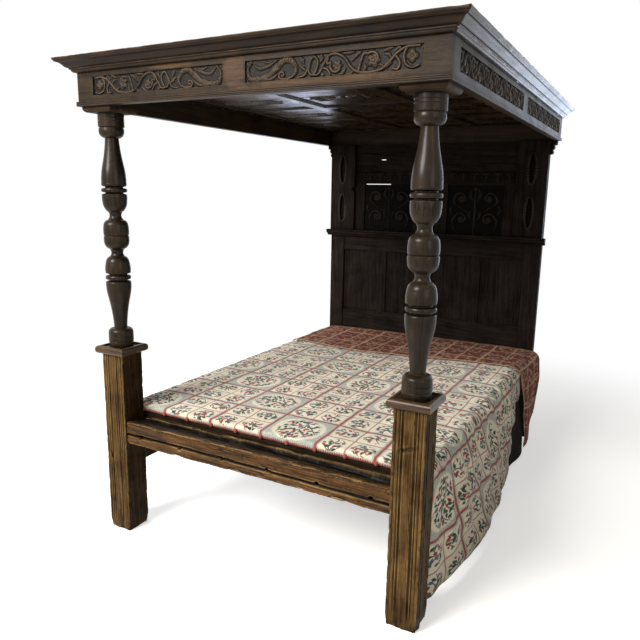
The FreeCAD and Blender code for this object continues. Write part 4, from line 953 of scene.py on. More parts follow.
    # Painted shade: the colour darkens where ambient occlusion finds the wood closed in, in corners, grooves and
    # carving, and the coat thins there as well
    open_sky = add(tree, "AmbientOcclusion", {"Distance": 0.025}, samples=4, out="AO")
    painted_shade = add(tree, "MapRange", open_sky, 0.25, 0.85, 0.25, 1.0)
    colour = add(tree, "VectorMath SCALE", colour, painted_shade)
    waxed = add(tree, "Math MULTIPLY", painted_shade, coat) if coat else 0.0
    dull = add(tree, "MapRange", stain, 0.3, 0.7, rough - 0.06, rough + 0.10)
    sunk = add(tree, "Math MULTIPLY_ADD", dirt, -0.8, figure)
    grain_normal = add(tree, "Bump", {"Strength": bump, "Distance": 0.0012, "Height": sunk, "Normal": normal})
    surface = add(tree, "BsdfPrincipled", {"Base Color": colour, "Roughness": dull, "Normal": grain_normal,
                                           "Specular IOR Level": shine, "Coat Weight": waxed, "Coat Roughness": 0.16})
    add(tree, "OutputMaterial", {"Surface": surface}, out=None)
    return material


def scattered_leaves(tree, cloth, spacing, length, width):
    """Pointed leaves strewn over the cloth, one to a cell and turned by chance.

    Gives x squared plus |y| in each leaf's own lengths, below 1 inside it, and two chance values.
    """
    spots = add(tree, "TexVoronoi", {"Vector": cloth, "Scale": 1 / spacing, "Randomness": 0.8},
                voronoi_dimensions="2D", out=None)
    off = add(tree, "VectorMath SUBTRACT", cloth, spots["Position"])
    chance = add(tree, "SeparateColor", spots["Color"], out=None)
    turn = add(tree, "Math MULTIPLY", chance[0], 2 * math.pi)
    turned = add(tree, "VectorRotate", {"Vector": off, "Angle": turn}, rotation_type="Z_AXIS")
    own = add(tree, "VectorMath MULTIPLY", turned, (1 / length, 1 / width, 0))
    axes = add(tree, "SeparateXYZ", own, out=None)
    side = add(tree, "Math ABSOLUTE", axes[1])
    leaf = add(tree, "Math MULTIPLY_ADD", axes[0], axes[0], side)
    return leaf, chance[1], chance[2]


def woven_squares(tree, column, row):
    """Squares of a woven cloth in blocks of two by two; every third block along the diagonals is a medallion.

    The lines wander by a few millimetres. Gives the cloth's own coordinates, the place in the motif's turned square,
    the place in the block, 1 in medallions, a chance value for each square, and the distances in metres to the
    nearest block line and square line each way.
    """
    raw = add(tree, "UVMap", uv_map="weave")
    wander = add(tree, "TexNoise", {"Vector": raw, "Scale": 1000 / 90, "Detail": 2.0}, out="Color")
    centred = add(tree, "VectorMath SUBTRACT", wander, (0.5, 0.5, 0.5))
    cloth = add(tree, "VectorMath MULTIPLY_ADD", centred, (0.012, 0.012, 0), raw)
    squares = add(tree, "VectorMath MULTIPLY", cloth, (1 / column, 1 / row, 0))
    blocks = add(tree, "VectorMath MULTIPLY", squares, (0.5, 0.5, 0))
    found = {}
    for label, grid in (("square", squares), ("block", blocks)):
        number = add(tree, "VectorMath FLOOR", grid)
        part = add(tree, "VectorMath FRACTION", grid)
        local = add(tree, "VectorMath SUBTRACT", part, (0.5, 0.5, 0))
        away = add(tree, "VectorMath ABSOLUTE", local)
        size = (column, row, 0) if label == "square" else (2 * column, 2 * row, 0)
        inner = add(tree, "VectorMath SUBTRACT", (0.5, 0.5, 0), away)
        metres = add(tree, "VectorMath MULTIPLY", inner, size)
        found[label] = (number, local, add(tree, "SeparateXYZ", metres, out=None))
    split = add(tree, "SeparateXYZ", found["block"][0], out=None)
    diagonal = add(tree, "Math ADD", split[0], split[1])
    third = add(tree, "Math FLOORED_MODULO", diagonal, 3.0)
    medallion = add(tree, "Math LESS_THAN", third, 0.5)
    number = add(tree, "Mix VECTOR", medallion, found["square"][0], found["block"][0])
    local = add(tree, "Mix VECTOR", medallion, found["square"][1], found["block"][1])
    chance = add(tree, "TexWhiteNoise", {"Vector": number}, noise_dimensions="3D", out="Value")
    quarter = add(tree, "Math MULTIPLY", chance, 4.0)
    whole = add(tree, "Math FLOOR", quarter)
    turned = add(tree, "Math MULTIPLY", whole, math.pi / 2)
    motif = add(tree, "VectorRotate", {"Vector": local, "Angle": turned}, rotation_type="Z_AXIS")
    return raw, motif, found["block"][1], medallion, chance, found["block"][2], found["square"][2]


def thread_height(tree, cloth, spacing):
    """Height of crossing threads: one wave along the cloth and one across it."""
    waves = {"Vector": cloth, "Scale": 0.314 / spacing, "Distortion": 0.6}
    return add(tree, "Math ADD", *(add(tree, "TexWave", waves, bands_direction=way, out=1) for way in "XY"))


def tapestry_cotton(cloth):
    """Jacquard woven cotton: to the eye, matt cream squares with sprigs in dull colours, framed by dusty red bands,
    with a coarse thread and colours broken up by the weave."""
    material, tree = new_material("Jacquard woven cotton")
    raw, motif, block_local, medallion, chance, block_gap, square_gap = woven_squares(tree, cloth.column, cloth.row)
    # Flecks stand for single coloured threads; drawn 7 mm wide so that they show
    flecks = add(tree, "TexNoise", {"Vector": raw, "Scale": 1000 / 7, "Detail": 3.0, "Roughness": 0.7})
    pale = add(tree, "Mix RGBA", chance, cloth.cream, tint(cloth.cream, 0.86))
    away = add(tree, "VectorMath ABSOLUTE", block_local)
    axes = add(tree, "SeparateXYZ", away, out=None)
    oval = add(tree, "Math ADD", *(add(tree, "Math POWER", axis, 2.6) for axis in axes[:2]))
    outside = add(tree, "MapRange", oval, 0.098, 0.116)
    spandrel = add(tree, "Math MULTIPLY", outside, medallion)
    speckle = add(tree, "MapRange", flecks, 0.42, 0.62)
    mottled = add(tree, "Mix RGBA", speckle, cloth.slate, tint(cloth.slate, 0.62))
    ground = add(tree, "Mix RGBA", spandrel, pale, mottled)
    # Sprigs: leaves and flowers 27 mm long on twigs that fork from a bent stem
    inside = add(tree, "Math SUBTRACT", 1.0, spandrel)
    edge_break = add(tree, "Math SUBTRACT", flecks, 0.5)
    axes = add(tree, "SeparateXYZ", motif, out=None)
    sway = add(tree, "Math MULTIPLY", axes[1], 7.0)
    curve = add(tree, "Math SINE", sway)
    bent = add(tree, "Math MULTIPLY_ADD", curve, -0.05, axes[0])
    stem_off = add(tree, "Math ABSOLUTE", bent)
    oval = add(tree, "VectorMath MULTIPLY", motif, (1 / 0.36, 1 / 0.41, 0))
    from_middle = add(tree, "VectorMath LENGTH", oval)
    ragged = add(tree, "Math MULTIPLY_ADD", edge_break, 0.7, from_middle)
    bunch = add(tree, "Math LESS_THAN", ragged, 0.98)
    bunch = add(tree, "Math MULTIPLY", bunch, inside)
    forked = add(tree, "Math MULTIPLY_ADD", stem_off, -0.9, axes[1])
    twig_step = add(tree, "MapRange", {0: medallion, 3: 0.20, 4: 0.12})
    twig_gap = add(tree, "Math PINGPONG", forked, twig_step)
    thin = add(tree, "MapRange", {0: medallion, 3: 0.027, 4: 0.016})
    on_twig = add(tree, "Math LESS_THAN", twig_gap, thin)
    on_stem = add(tree, "Math LESS_THAN", stem_off, thin)
    stem = add(tree, "Math MAXIMUM", on_twig, on_stem)
    stem = add(tree, "Math MULTIPLY", stem, bunch)
    stem = add(tree, "Math MULTIPLY", stem, 0.85)
    ground = add(tree, "Mix RGBA", stem, ground, cloth.twig)
    leaf, hue, there = scattered_leaves(tree, raw, 0.0215, 0.0135, 0.0066)
    broken = add(tree, "Math MULTIPLY_ADD", edge_break, 0.9, leaf)
    mask = add(tree, "MapRange", broken, 1.14, 0.90, 0.0, 1.0)
    mask = add(tree, "Math MULTIPLY", mask, bunch)
    kept = add(tree, "Math GREATER_THAN", there, 0.12)
    mask = add(tree, "Math MULTIPLY", mask, kept)
    shifted = add(tree, "Math MULTIPLY_ADD", chance, 0.30, hue)
    kinds = add(tree, "ValToRGB", shifted, steps=[(0.0, cloth.leaf), (0.58, cloth.flower), (0.86, cloth.bud),
                                                  (1.0, cloth.leaf)])
    ground = add(tree, "Mix RGBA", mask, ground, kinds)
    # Grey-green border along each band, then bands between blocks 12 mm wide and lines between squares 6 mm wide
    near = add(tree, "Math MINIMUM", block_gap[0], block_gap[1])
    border = add(tree, "MapRange", near, 0.0150, 0.0125, 0.0, 0.75)
    ground = add(tree, "Mix RGBA", border, ground, mottled)
    plain = add(tree, "Math SUBTRACT", 1.0, medallion)
    for gaps, half, share, only in ((square_gap, 0.0030, 0.80, plain), (block_gap, 0.0060, 0.92, 1.0)):
        close = add(tree, "Math MINIMUM", gaps[0], gaps[1])
        line = add(tree, "MapRange", close, half * 1.35, half * 0.8, 0.0, share)
        line = add(tree, "Math MULTIPLY", line, only)
        ground = add(tree, "Mix RGBA", line, ground, cloth.band)
    # Real threads are about 1 mm apart; drawn 2.8 mm apart so that they show
    threads = thread_height(tree, raw, 0.0028)
    shade = add(tree, "MapRange", threads, 0.0, 2.0, 0.86, 1.08)
    worked = add(tree, "VectorMath SCALE", ground, shade)
    # Hem: a dark band 14 mm wide on the drop, painted shade of the hem's turned-under edge, and a dotted red border
    # along the foot
    along = add(tree, "SeparateXYZ", raw, out=None)
    to_hem = add(tree, "Attribute", attribute_name="to_hem", out="Fac")
    hem_shadow_band = add(tree, "MapRange", to_hem, 0.015, 0.013)
    # Painted shade: the drop darkens over its last 0.45 m towards the hem, down to 0.78 at the hem
    drop_shade_to_hem = add(tree, "MapRange", to_hem, 0.0, 0.45, 0.78, 1.0)
    worked = add(tree, "VectorMath SCALE", worked, drop_shade_to_hem)
    worked = add(tree, "Mix RGBA", hem_shadow_band, worked, cloth.hem_shadow)
    dots = add(tree, "TexWave", {"Vector": raw, "Scale": 0.314 / 0.010}, bands_direction="X", out=1)
    dotted = add(tree, "Math GREATER_THAN", dots, 0.45)
    foot = add(tree, "MapRange", along[1], 0.011, 0.009)
    foot_dots = add(tree, "Math MULTIPLY", dotted, foot)
    worked = add(tree, "Mix RGBA", foot_dots, worked, cloth.band)
    rough_yarn = add(tree, "Math MULTIPLY_ADD", flecks, 1.6, threads)
    woven_surface(tree, worked, rough_yarn, 0.5, 0.0012, 0.92, {"Specular IOR Level": 0.2, "Sheen Weight": 0.12})
    return material


def reversed_cotton(cloth):
    """The reverse of a jacquard cotton: to the eye, matt wine red with tan lines and faint medallion rings."""
    material, tree = new_material("Jacquard woven cotton, reverse")
    raw, _, block_local, medallion, _, block_gap, square_gap = woven_squares(tree, cloth.column, cloth.row)
    flecks = add(tree, "TexNoise", {"Vector": raw, "Scale": 1000 / 8, "Detail": 4.0, "Roughness": 0.72})
    depth = add(tree, "MapRange", flecks, 0.35, 0.68)
    ground = add(tree, "Mix RGBA", depth, tint(cloth.wine, 0.45), tint(cloth.wine, 1.35))
    leaf, hue, _ = scattered_leaves(tree, raw, 0.026, 0.0150, 0.0068)
    mask = add(tree, "MapRange", leaf, 1.15, 0.8, 0.0, 0.75)
    kinds = add(tree, "ValToRGB", hue, steps=[(0.0, tint(cloth.wine, 0.25)), (0.55, cloth.tan)])
    ground = add(tree, "Mix RGBA", mask, ground, kinds)
    away = add(tree, "VectorMath LENGTH", block_local)
    off_ring = add(tree, "Math SUBTRACT", away, 0.40)
    ring_gap = add(tree, "Math ABSOLUTE", off_ring)
    ring = add(tree, "MapRange", ring_gap, 0.045, 0.02, 0.0, 0.35)
    shown = add(tree, "Math MULTIPLY", ring, medallion)
    ground = add(tree, "Mix RGBA", shown, ground, cloth.tan)
    for gap, half, share in ((square_gap[0], 0.0044, 0.75), (square_gap[1], 0.0044, 0.65),
                             (block_gap[0], 0.0065, 0.95), (block_gap[1], 0.0060, 0.8)):
        line = add(tree, "MapRange", gap, half * 1.4, half * 0.7, 0.0, share)
        ground = add(tree, "Mix RGBA", line, ground, cloth.tan)
    # Tan cord along the edges, 9 mm wide
    to_edge = add(tree, "Attribute", attribute_name="to_edge", out="Fac")
    cord = add(tree, "MapRange", to_edge, 0.011, 0.008, 0.0, 0.8)
    ground = add(tree, "Mix RGBA", cord, ground, cloth.tan)
    # Real threads are about 1 mm apart; drawn 3 mm apart so that they show
    threads = thread_height(tree, raw, 0.003)
    rough_yarn = add(tree, "Math MULTIPLY_ADD", flecks, 1.6, threads)
    woven_surface(tree, ground, rough_yarn, 0.5, 0.0012, 0.92, {"Specular IOR Level": 0.1})
    return material


def fold_shadow_cloth(cloth):
    """Near black glazed cotton that paints the shadow inside the throw's fold: to the eye, a faint dull weave and
    dusty folds.
    """
    material, tree = new_material("Black cotton, painted shadow of the throw's fold")
    raw = add(tree, "UVMap", uv_map="weave")
    # Real threads are 0.4 mm apart; drawn 2 mm apart so that they show
    threads = thread_height(tree, raw, 0.002)
    dust = add(tree, "TexNoise", {"Vector": raw, "Scale": 1000 / 60, "Detail": 4.0})
    colour = add(tree, "Mix RGBA", dust, tint(cloth.fold_shadow, 0.5), tint(cloth.fold_shadow, 1.5))
    woven_surface(tree, colour, threads, 0.3, 0.0008, 0.8, {"Specular IOR Level": 0.03})
    return material


def cotton_ticking(cloth):
    """Cotton ticking: to the eye, matt off-white twill with paired grey-blue stripes across the bed every 40 mm."""
    material, tree = new_material("Cotton ticking")
    place = add(tree, "TexCoord", out="Object")
    axes = add(tree, "SeparateXYZ", place, out=None)
    beat = add(tree, "Math PINGPONG", axes[1], 0.020)
    wide = add(tree, "MapRange", beat, 0.0050, 0.0042)
    off = add(tree, "Math SUBTRACT", beat, 0.008)
    narrow_gap = add(tree, "Math ABSOLUTE", off)
    narrow = add(tree, "MapRange", narrow_gap, 0.0014, 0.0010)
    stripes = add(tree, "Math MAXIMUM", wide, narrow)
    colour = add(tree, "Mix RGBA", stripes, cloth.ticking, cloth.stripe)
    # The real twill is about 1 mm wide; drawn 2.5 mm wide so that it shows
    twill = add(tree, "TexWave", {"Vector": place, "Scale": 0.314 / 0.0025}, bands_direction="DIAGONAL", out=1)
    woven_surface(tree, colour, twill, 0.4, 0.0008, 0.9, {"Specular IOR Level": 0.2})
    return material


def wool_tufts(cloth):
    """Twisted wool: to the eye, soft dull red with fine strands round each tuft."""
    material, tree = new_material("Twisted wool")
    place = add(tree, "TexCoord", out="Object")
    # Real strands are about 1 mm thick; drawn 2.5 mm thick so that they show
    strands = add(tree, "TexNoise", {"Vector": place, "Scale": 1000 / 2.5, "Detail": 3.0})
    colour = add(tree, "Mix RGBA", strands, tint(cloth.tuft, 0.5), cloth.tuft)
    woven_surface(tree, colour, strands, 0.7, 0.001, 0.95, {"Sheen Weight": 0.3})
    return material


def seen_directly(tree):
    """1 for rays from the camera, from gleams and through glass, and 0 for light that bounces."""
    paths = add(tree, "LightPath", out=None)
    gleam = add(tree, "Math MAXIMUM", paths["Is Camera Ray"], paths["Is Glossy Ray"])
    return add(tree, "Math MAXIMUM", gleam, paths["Is Transmission Ray"])


# Operators

class BED_OT_oak_frame(bpy.types.Operator):
    """Give every oak piece of the frame its own oak."""

    bl_idname = "bed.oak_frame"
    bl_label = "Oak frame"

    def execute(self, context):
        tone = context.scene.four_poster.oak
        waxed = (tone.waxed_dark, tone.waxed_light, tone.waxed_worn)
        dry = (tone.dry_dark, tone.dry_light, tone.dry_worn_and_highlight)
        black = (tone.black_dark, tone.black_light, tone.black_worn)
        sawn = (tone.sawn_dark, tone.sawn_light, tone.dry_worn_and_highlight)
        pad = (tone.waxed_dark, tint(tone.bare, 0.55), tone.waxed_worn)
        turned = (tone.waxed_dark, tint(tone.waxed_light, 0.70), tone.waxed_worn)
        rubbed_spots = [((0.0, -1.07, 1.945), (0.055, 0.5, 0.06)), ((0.30, -1.07, 1.893), (0.34, 0.5, 0.014)),
                        ((-0.30, -1.07, 1.99), (0.12, 0.5, 0.010))]
        woods = {
            "frieze": oak("Waxed oak, front frieze", "x", waxed, 0.50, 0.12, 0.75, bare=tone.bare,
                          patches=rubbed_spots),
            "waxed x": oak("Waxed oak, across", "x", waxed, 0.42, 0.16, 0.75),
            "waxed y": oak("Waxed oak, lengthwise", "y", waxed, 0.42, 0.16, 0.5, 0.0, 0.10),
            "soffit x": oak("Polished oak, across", "x", waxed, 0.28, 0.06, 0.4, 0.0, 0.0, 0.2),
            "soffit y": oak("Polished oak, lengthwise", "y", waxed, 0.28, 0.06, 0.4, 0.0, 0.0, 0.2),
            "turned": oak("Waxed oak, turned", "z", turned, 0.34, 0.10, 0.7, 0.14, 0.30, 1.0),
            "pad": oak("Dry oak, pads", "x", pad, 0.55, 0.10, 0.7),
            # Caps: the pale rim is widened to 4 mm and strengthened, as wear and a painted highlight
            "cap": oak("Dry oak, caps", "x", dry, 0.34, 0.25, 1.5, 0.15, arris_width=4.0),
            "black x": oak("Black oak, across", "x", black, 0.50, 0.03, 0.5),
            "black z": oak("Black oak, upright", "z", black, 0.50, 0.03, 0.5),
            "sawn x": oak("Sawn oak, across", "x", sawn, 0.65, 0.06, 0.4),
            "sawn y": oak("Sawn oak, lengthwise", "y", sawn, 0.65, 0.06, 0.4),
        }
        chosen = [
            ("frieze_front", "frieze"), ("reeded_moulding_front", "waxed x"),
            ("tester_back_rail", "waxed x"), ("cornice", "waxed y"), ("frieze", "waxed y"),
            ("reeded_moulding", "waxed y"), ("corner_pad", "pad"), ("soffit_front_rail", "soffit x"),
            ("soffit_back_rail", "soffit x"), ("soffit_cross_rails", "soffit x"), ("soffit", "soffit y"),
            ("post", "turned"), ("pedestal_cap", "cap"), ("pedestal", "cap"), ("foot_rail", "cap"),
            ("headboard_stile", "black z"), ("headboard_pegs", "black z"), ("headboard", "black x"),
            ("upper_muntin", "black z"), ("carved_panel", "black z"), ("lower", "black z"), ("pilaster", "black z"),
            ("corbel", "black z"), ("side_rail", "sawn y"), ("foot_board", "sawn x"), ("bed_boards", "sawn x"),
        ]
        for name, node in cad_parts.items():
            match = next((wood for start, wood in chosen if name.startswith(start)), None)
            if match:
                for slot in node.material_slots:
                    slot.material = woods[match]
        return {"FINISHED"}


class BED_OT_frieze_carving(bpy.types.Operator):
    """Carve the sunk panels of the three friezes."""

    bl_idname = "bed.frieze_carving"
    bl_label = "Frieze carving"

    def execute(self, context):
        settings = context.scene.four_poster
        tone, depth, step = settings.oak, settings.carving.frieze_depth / MM, settings.carving.frieze_step / MM
        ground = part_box("frieze_front")[0].y / MM + FRIEZE_SUNK
        side_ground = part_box("frieze_right")[1].x / MM - FRIEZE_SUNK
        waxed = (tone.waxed_dark, tone.waxed_light, tone.carved_worn_and_glint)
        front_oak = oak("Waxed oak, front carving", "x", waxed, 0.45, 0.14, 0.9, shaped="carved")
        side_oak = oak("Waxed oak, side carving", "y", waxed, 0.42, 0.08, 0.9, shaped="carved")

        def front(mirror):
            def height(along, across):
                return front_frieze(along if mirror > 0 else FRONT_PANEL - along, across, depth)

            def place(along, across, lift):
                x = FRONT_GAP + along if mirror > 0 else -FRONT_GAP - FRONT_PANEL + along
                return np.stack([x, ground - lift, FRIEZE_LOW + across], -1)
            return relief(FRONT_PANEL, FRIEZE_WIDTH, step, height, place)

        def side(mirror, start):
            def height(along, across):
                return side_frieze(along, across, depth)

            def place(along, across, lift):
                y = start + along if mirror > 0 else start + SIDE_PANEL - along
                return np.stack([mirror * (side_ground + lift), y, FRIEZE_LOW + across], -1)
            return relief(SIDE_PANEL, FRIEZE_WIDTH, step * 1.5, height, place)

        piece("frieze_carving_front", [front(-1), front(1)], front_oak)
        piece("frieze_carving_left", [side(-1, start) for start in SIDE_STARTS], side_oak)
        piece("frieze_carving_right", [side(1, start) for start in SIDE_STARTS], side_oak)
        return {"FINISHED"}


class BED_OT_cornices(bpy.types.Operator):
    """Run the worn cornice round the front and both sides."""

    bl_idname = "bed.cornices"
    bl_label = "Cornices"

    def execute(self, context):
        tone = context.scene.four_poster.oak
        tones = (tone.waxed_dark, tone.cornice, tone.waxed_worn)
        across = oak("Waxed oak, cornice", "x", tones, 0.42, 0.14, 0.7, 0.05, shaped="worn")
        lengthwise = oak("Waxed oak, side cornices", "y", tones, 0.26, 0.16, 0.7, 0.30, 0.12, shaped="worn")
        low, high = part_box("cornice_front")
        half, front = high.x / MM - CORNICE_REACH, low.y / MM + CORNICE_REACH
        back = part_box("cornice_left")[1].y / MM
        runs = (
            ("front", (-half, front), (half, front), (0, -1), (1, 1), across),
            ("left", (-half, back), (-half, front), (-1, 0), (0, 1), lengthwise),
            ("right", (half, front), (half, back), (1, 0), (1, 0), lengthwise),
        )
        for seed, (side, start, end, out, turns, wood) in enumerate(runs):
            grid = cornice_run(start, end, out, turns, 51 + 5 * seed)
            piece("worn_cornice_" + side, [grid], wood, ["cornice_" + side])
        return {"FINISHED"}


class BED_OT_soffit_carving(bpy.types.Operator):
    """Carve a motif on each soffit panel and run beads round it."""

    bl_idname = "bed.soffit_carving"
    bl_label = "Soffit carving"

    def execute(self, context):
        settings = context.scene.four_poster
        tone, depth, step = settings.oak, settings.carving.soffit_depth / MM, settings.carving.soffit_step / MM
        waxed = (tone.waxed_dark, tone.waxed_light, tone.waxed_worn)
        wood = oak("Polished oak, soffit carving", "y", waxed, 0.28, 0.06, 0.4, 0.0, 0.0, 0.2, "incised")

        def motif(middle_x, middle_y):
            def place(along, across, lift):
                x, y = middle_x - MOTIF_LENGTH / 2 + along, middle_y + MOTIF_WIDTH / 2 - across
                return np.stack([x, y, SOFFIT_FACE - lift], -1)
            return relief(MOTIF_LENGTH, MOTIF_WIDTH, step, lambda u, v: soffit_motif(u, v, depth), place)

        panels = [(cx, cy) for cx in SOFFIT_COLUMNS for cy in SOFFIT_ROWS]
        piece("soffit_motifs", [motif(sum(cx) / 2, sum(cy) / 2) for cx, cy in panels], wood)
        piece("soffit_beads", [double_bead(*cx, *cy, SOFFIT_FACE) for cx, cy in panels], wood)
        return {"FINISHED"}


class BED_OT_headboard_carving(bpy.types.Operator):
    """Carve the headboard's two panels and the notched borders of the pilasters."""

    bl_idname = "bed.headboard_carving"
    bl_label = "Headboard carving"

    def execute(self, context):
        settings = context.scene.four_poster
        tone, depth, step = settings.oak, settings.carving.panel_depth / MM, settings.carving.panel_step / MM
        black = (tone.black_dark, tone.black_light, tone.black_worn)
        wood = oak("Black oak, carving", "z", black, 0.45, 0.04, 0.6, shaped="carved")
        # The notched borders get the pale worn colour on their backs and edges: wear, with a painted glint on the
        # notches
        worn_and_glinting = (tone.black_dark, tone.black_light, tone.carved_worn_and_glint)
        notched = oak("Black oak, notched borders", "z", worn_and_glinting, 0.40, 0.08, 0.5, shaped="carved")
        faint = oak("Black oak, brackets", "x", black, 0.50, 0.03, 0.2, shaped="faint")

        def panel(start):
            def place(along, across, lift):
                z = SCROLL_LOW + across * SCROLL_HEIGHT / SCROLL_DRAWN
                return np.stack([start + along, SCROLL_GROUND - lift, z], -1)
            return relief(SCROLL_WIDTH, SCROLL_DRAWN, step, lambda u, v: headboard_scrolls(u, v, depth), place)

        def brackets(start):
            def place(along, across, lift):
                return np.stack([start + along, BRACKET_GROUND - lift, BRACKET_LOW + across], -1)
            return relief(BRACKET_RUN, BRACKET_HEIGHT, step, lambda u, v: bracket_row(u, v, 0.7 * depth), place)

        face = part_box("pilaster_left")[0].y / MM
        slots = [(side * SLOT_X, z) for side in (-1, 1) for z in SLOT_LEVELS]
        piece("headboard_scrolls", [panel(start) for start in SCROLL_STARTS], wood)
        piece("headboard_brackets", [brackets(start) for start in BRACKET_STARTS], faint)
        piece("pilaster_borders", [ring_of_notches(x, z, face) for x, z in slots], notched)
        return {"FINISHED"}


class BED_OT_pedestals(bpy.types.Operator):
    """Wear down the two pedestals."""

    bl_idname = "bed.pedestals"
    bl_label = "Pedestals"

    def execute(self, context):
        tone = context.scene.four_poster.oak
        wood = oak("Dry oak, upright", "z", (tone.dry_dark, tone.golden, tone.dry_worn_and_highlight), 0.40, 0.03, 1.0, cracks=1.0,
                   shaped="worn", fibres=0.13, spread=(0.71, 1.12))
        piece("worn_pedestal_left", [pedestal_points(-1, 11)], wood, ["pedestal_left"])
        piece("worn_pedestal_right", [pedestal_points(1, 15)], wood, ["pedestal_right"])
        return {"FINISHED"}


class BED_OT_foot_rail(bpy.types.Operator):
    """Wear down the foot rail."""

    bl_idname = "bed.foot_rail"
    bl_label = "Foot rail"

    def execute(self, context):
        tone = context.scene.four_poster.oak
        wood = oak("Dry oak, across", "x", (tone.dry_dark, tone.rail, tone.dry_worn_and_highlight), 0.46, 0.10, 0.8, cracks=1.0,
                   shaped="worn", fibres=0.20, spread=(0.72, 1.10))
        piece("worn_foot_rail", [foot_rail_points()], wood, ["foot_rail"])
        return {"FINISHED"}


class BED_OT_mattress(bpy.types.Operator):
    """Fill the mattress: its cover is blown up by pressure, no point moving more than 5 mm."""

    bl_idname = "bed.mattress"
    bl_label = "Mattress"

    def execute(self, context):
        scene = context.scene
        ticking = cotton_ticking(scene.four_poster.cloth)
        grid = (mattress_points(0.006), False, True, {})
        made = piece("mattress_cover", [grid], ticking, ["mattress"])
        fill_cover(scene, made, skin=0.016, most=0.005)
        return {"FINISHED"}


class BED_OT_coverlet(bpy.types.Operator):
    """Lay the coverlet over the bed, with its hem and tufts."""

    bl_idname = "bed.coverlet"
    bl_label = "Coverlet"

    def execute(self, context):
        cloth = context.scene.four_poster.cloth
        grid = coverlet_points(cloth.column, cloth.row)
        made = piece("coverlet_cloth", [grid], tapestry_cotton(cloth), ["coverlet"])
        thicken(made, cloth.thickness)
        knots = piece("hem_knots", hem_knots(cloth.column), wool_tufts(cloth))
        return {"FINISHED"}


class BED_OT_head_throw(bpy.types.Operator):
    """Lay the throw across the head of the bed, with one corner hanging."""

    bl_idname = "bed.head_throw"
    bl_label = "Head throw"

    def execute(self, context):
        cloth = context.scene.four_poster.cloth
        made = piece("head_throw_cloth", [throw_points()], reversed_cotton(cloth), ["head_throw"])
        thicken(made, cloth.thickness)
        # Near black sheet behind the coverlet's turned corner: painted shadow of the inside of the throw's fold
        fold_shadow = piece("throw_fold_shadow", [fold_shadow_points()], fold_shadow_cloth(cloth))
        thicken(fold_shadow, FOLD_SHADOW_THICKNESS)
        return {"FINISHED"}


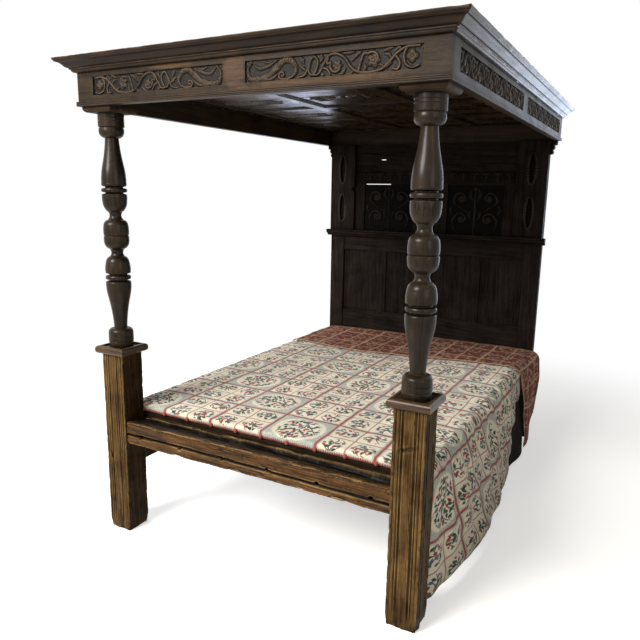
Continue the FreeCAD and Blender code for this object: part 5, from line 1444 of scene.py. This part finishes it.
class BED_OT_stage(bpy.types.Operator):
    """Set the pale floor, the soft light and the camera."""

    bl_idname = "bed.stage"
    bl_label = "Stage"

    def execute(self, context):
        scene, stage = context.scene, context.scene.four_poster.stage
        scene.view_settings.view_transform = "Standard"
        # Painted floor: white where light reaches it, darker where the bed shades it, plain white further off
        material, tree = new_material("Matt floor paint")
        place = add(tree, "TexCoord", out="Object")
        far = add(tree, "VectorMath LENGTH", place)
        open_floor = add(tree, "MapRange", far, 1.9, 3.6, interpolation_type="SMOOTHSTEP")
        matt = add(tree, "BsdfDiffuse", {"Color": stage.floor})
        seen = seen_directly(tree)
        near_glow = add(tree, "Math MULTIPLY", seen, 0.5)
        glow = add(tree, "Emission", {"Color": (1, 1, 1, 1), "Strength": near_glow})
        near = add(tree, "AddShader", matt, glow)
        far_glow = add(tree, "MapRange", {0: seen, 3: 0.25, 4: 1.0})
        white = add(tree, "Emission", {"Color": (1, 1, 1, 1), "Strength": far_glow})
        both = add(tree, "MixShader", open_floor, near, white)
        add(tree, "OutputMaterial", {"Surface": both}, out=None)
        half_floor, floor_z = 14, -0.0005
        ends = np.linspace(-half_floor, half_floor, 8)
        x, y = np.meshgrid(ends, ends, indexing="ij")
        mesh = bpy.data.meshes.new("floor")
        points = np.stack([x, y, np.full_like(x, floor_z)], -1).reshape(-1, 3)
        mesh.from_pydata(points.tolist(), [], cells(np.arange(x.size).reshape(x.shape)).tolist())
        mesh.materials.append(material)
        floor = bpy.data.objects.new("floor", mesh)
        scene.collection.objects.link(floor)
        # Even white surround, which lights the bed gently and is white to the camera
        world = bpy.data.worlds.new("Studio")
        world.use_nodes = True
        scene.world = world
        tree = world.node_tree
        tree.nodes.clear()
        strength = add(tree, "MapRange", {0: seen_directly(tree), 3: 0.2, 4: 1.0})
        back = add(tree, "Background", {"Color": (1, 1, 1, 1), "Strength": strength})
        add(tree, "OutputWorld", {"Surface": back}, out=None)
        for name, place, target, (width, height), power, colour in (
            ("key", (-1.8, -5.4, 4.2), (0.0, -0.5, 0.7), (3.0, 3.0), 560.0, (1.0, 0.97, 0.93)),
            ("side", (-5.2, -0.6, 2.4), (0.0, 0.0, 0.7), (2.4, 2.4), 150.0, (0.88, 0.92, 1.0)),
            ("fill", (4.8, -3.4, 2.4), (0.3, -0.2, 0.6), (2.6, 2.6), 38.0, (1.0, 0.94, 0.84)),
            ("right window", (1.55, 5.9, 1.8), (0.83, 0.3, 2.0), (1.6, 3.6), 36.0, (0.60, 0.74, 1.0)),
            ("left window", (-3.5, 5.2, 1.35), (-0.2, -0.3, 1.97), (1.3, 1.3), 17.0, (0.62, 0.68, 1.0)),
        ):
            lamp = bpy.data.lights.new(name, "AREA")
            lamp.shape, lamp.size, lamp.size_y, lamp.energy, lamp.color = "ELLIPSE", width, height, power, colour
            holder = bpy.data.objects.new(name, lamp)
            holder.location = place
            holder.rotation_euler = (Vector(target) - Vector(place)).to_track_quat("-Z", "Y").to_euler()
            scene.collection.objects.link(holder)
        # The windows lie behind the bed, so only their gleam on the waxed oak matters
        for name in ("left window", "right window"):
            scene.objects[name].visible_diffuse = False
        scene.objects["side"].visible_glossy = False
        # Camera of the photograph, found from the bed's corners
        stand = (1.3614, -2.9289, 1.5368)
        yaw, pitch, roll = (math.radians(a) for a in (28.3813, -11.4797, 0.9606))
        forward = Vector((-math.sin(yaw) * math.cos(pitch), math.cos(yaw) * math.cos(pitch), math.sin(pitch)))
        right = Vector((math.cos(yaw), math.sin(yaw), 0))
        above = right.cross(forward)
        level = math.cos(roll) * right + math.sin(roll) * above
        upright = -math.sin(roll) * right + math.cos(roll) * above
        lens = bpy.data.cameras.new("camera")
        lens.sensor_width, lens.lens = 36.0, stage.lens / MM
        camera = bpy.data.objects.new("camera", lens)
        turned = Matrix((level, upright, -forward)).transposed().to_4x4()
        camera.matrix_world = Matrix.Translation(stand) @ turned
        scene.collection.objects.link(camera)
        scene.camera = camera
        return {"FINISHED"}


MAKING_ORDER = (
    BED_OT_oak_frame, BED_OT_frieze_carving, BED_OT_cornices, BED_OT_soffit_carving, BED_OT_headboard_carving,
    BED_OT_pedestals, BED_OT_foot_rail, BED_OT_mattress, BED_OT_coverlet, BED_OT_head_throw, BED_OT_stage,
)


class BED_PT_making(bpy.types.Panel):
    """Lists the steps that make the bed."""

    bl_label = "Four poster bed"
    bl_space_type = "VIEW_3D"
    bl_region_type = "UI"
    bl_category = "Bed"

    def draw(self, context):
        for step in MAKING_ORDER:
            self.layout.operator(step.bl_idname)
        settings = context.scene.four_poster
        for group in (settings.oak, settings.cloth, settings.carving, settings.stage):
            box = self.layout.box()
            for name in group.__annotations__:
                box.prop(group, name)


CLASSES = (OakSettings, ClothSettings, CarvingSettings, StageSettings, BedSettings) + MAKING_ORDER + (BED_PT_making,)


def register():
    for one in CLASSES:
        bpy.utils.register_class(one)
    bpy.types.Scene.four_poster = bpy.props.PointerProperty(
        type=BedSettings, name="Bed", description="Settings of the bed")


def unregister():
    del bpy.types.Scene.four_poster
    for one in reversed(CLASSES):
        bpy.utils.unregister_class(one)


def main():
    register()
    for step in MAKING_ORDER:
        group, name = step.bl_idname.split(".")
        getattr(getattr(bpy.ops, group), name)()
    bpy.context.view_layer.update()


if __name__ == "__main__":
    main()
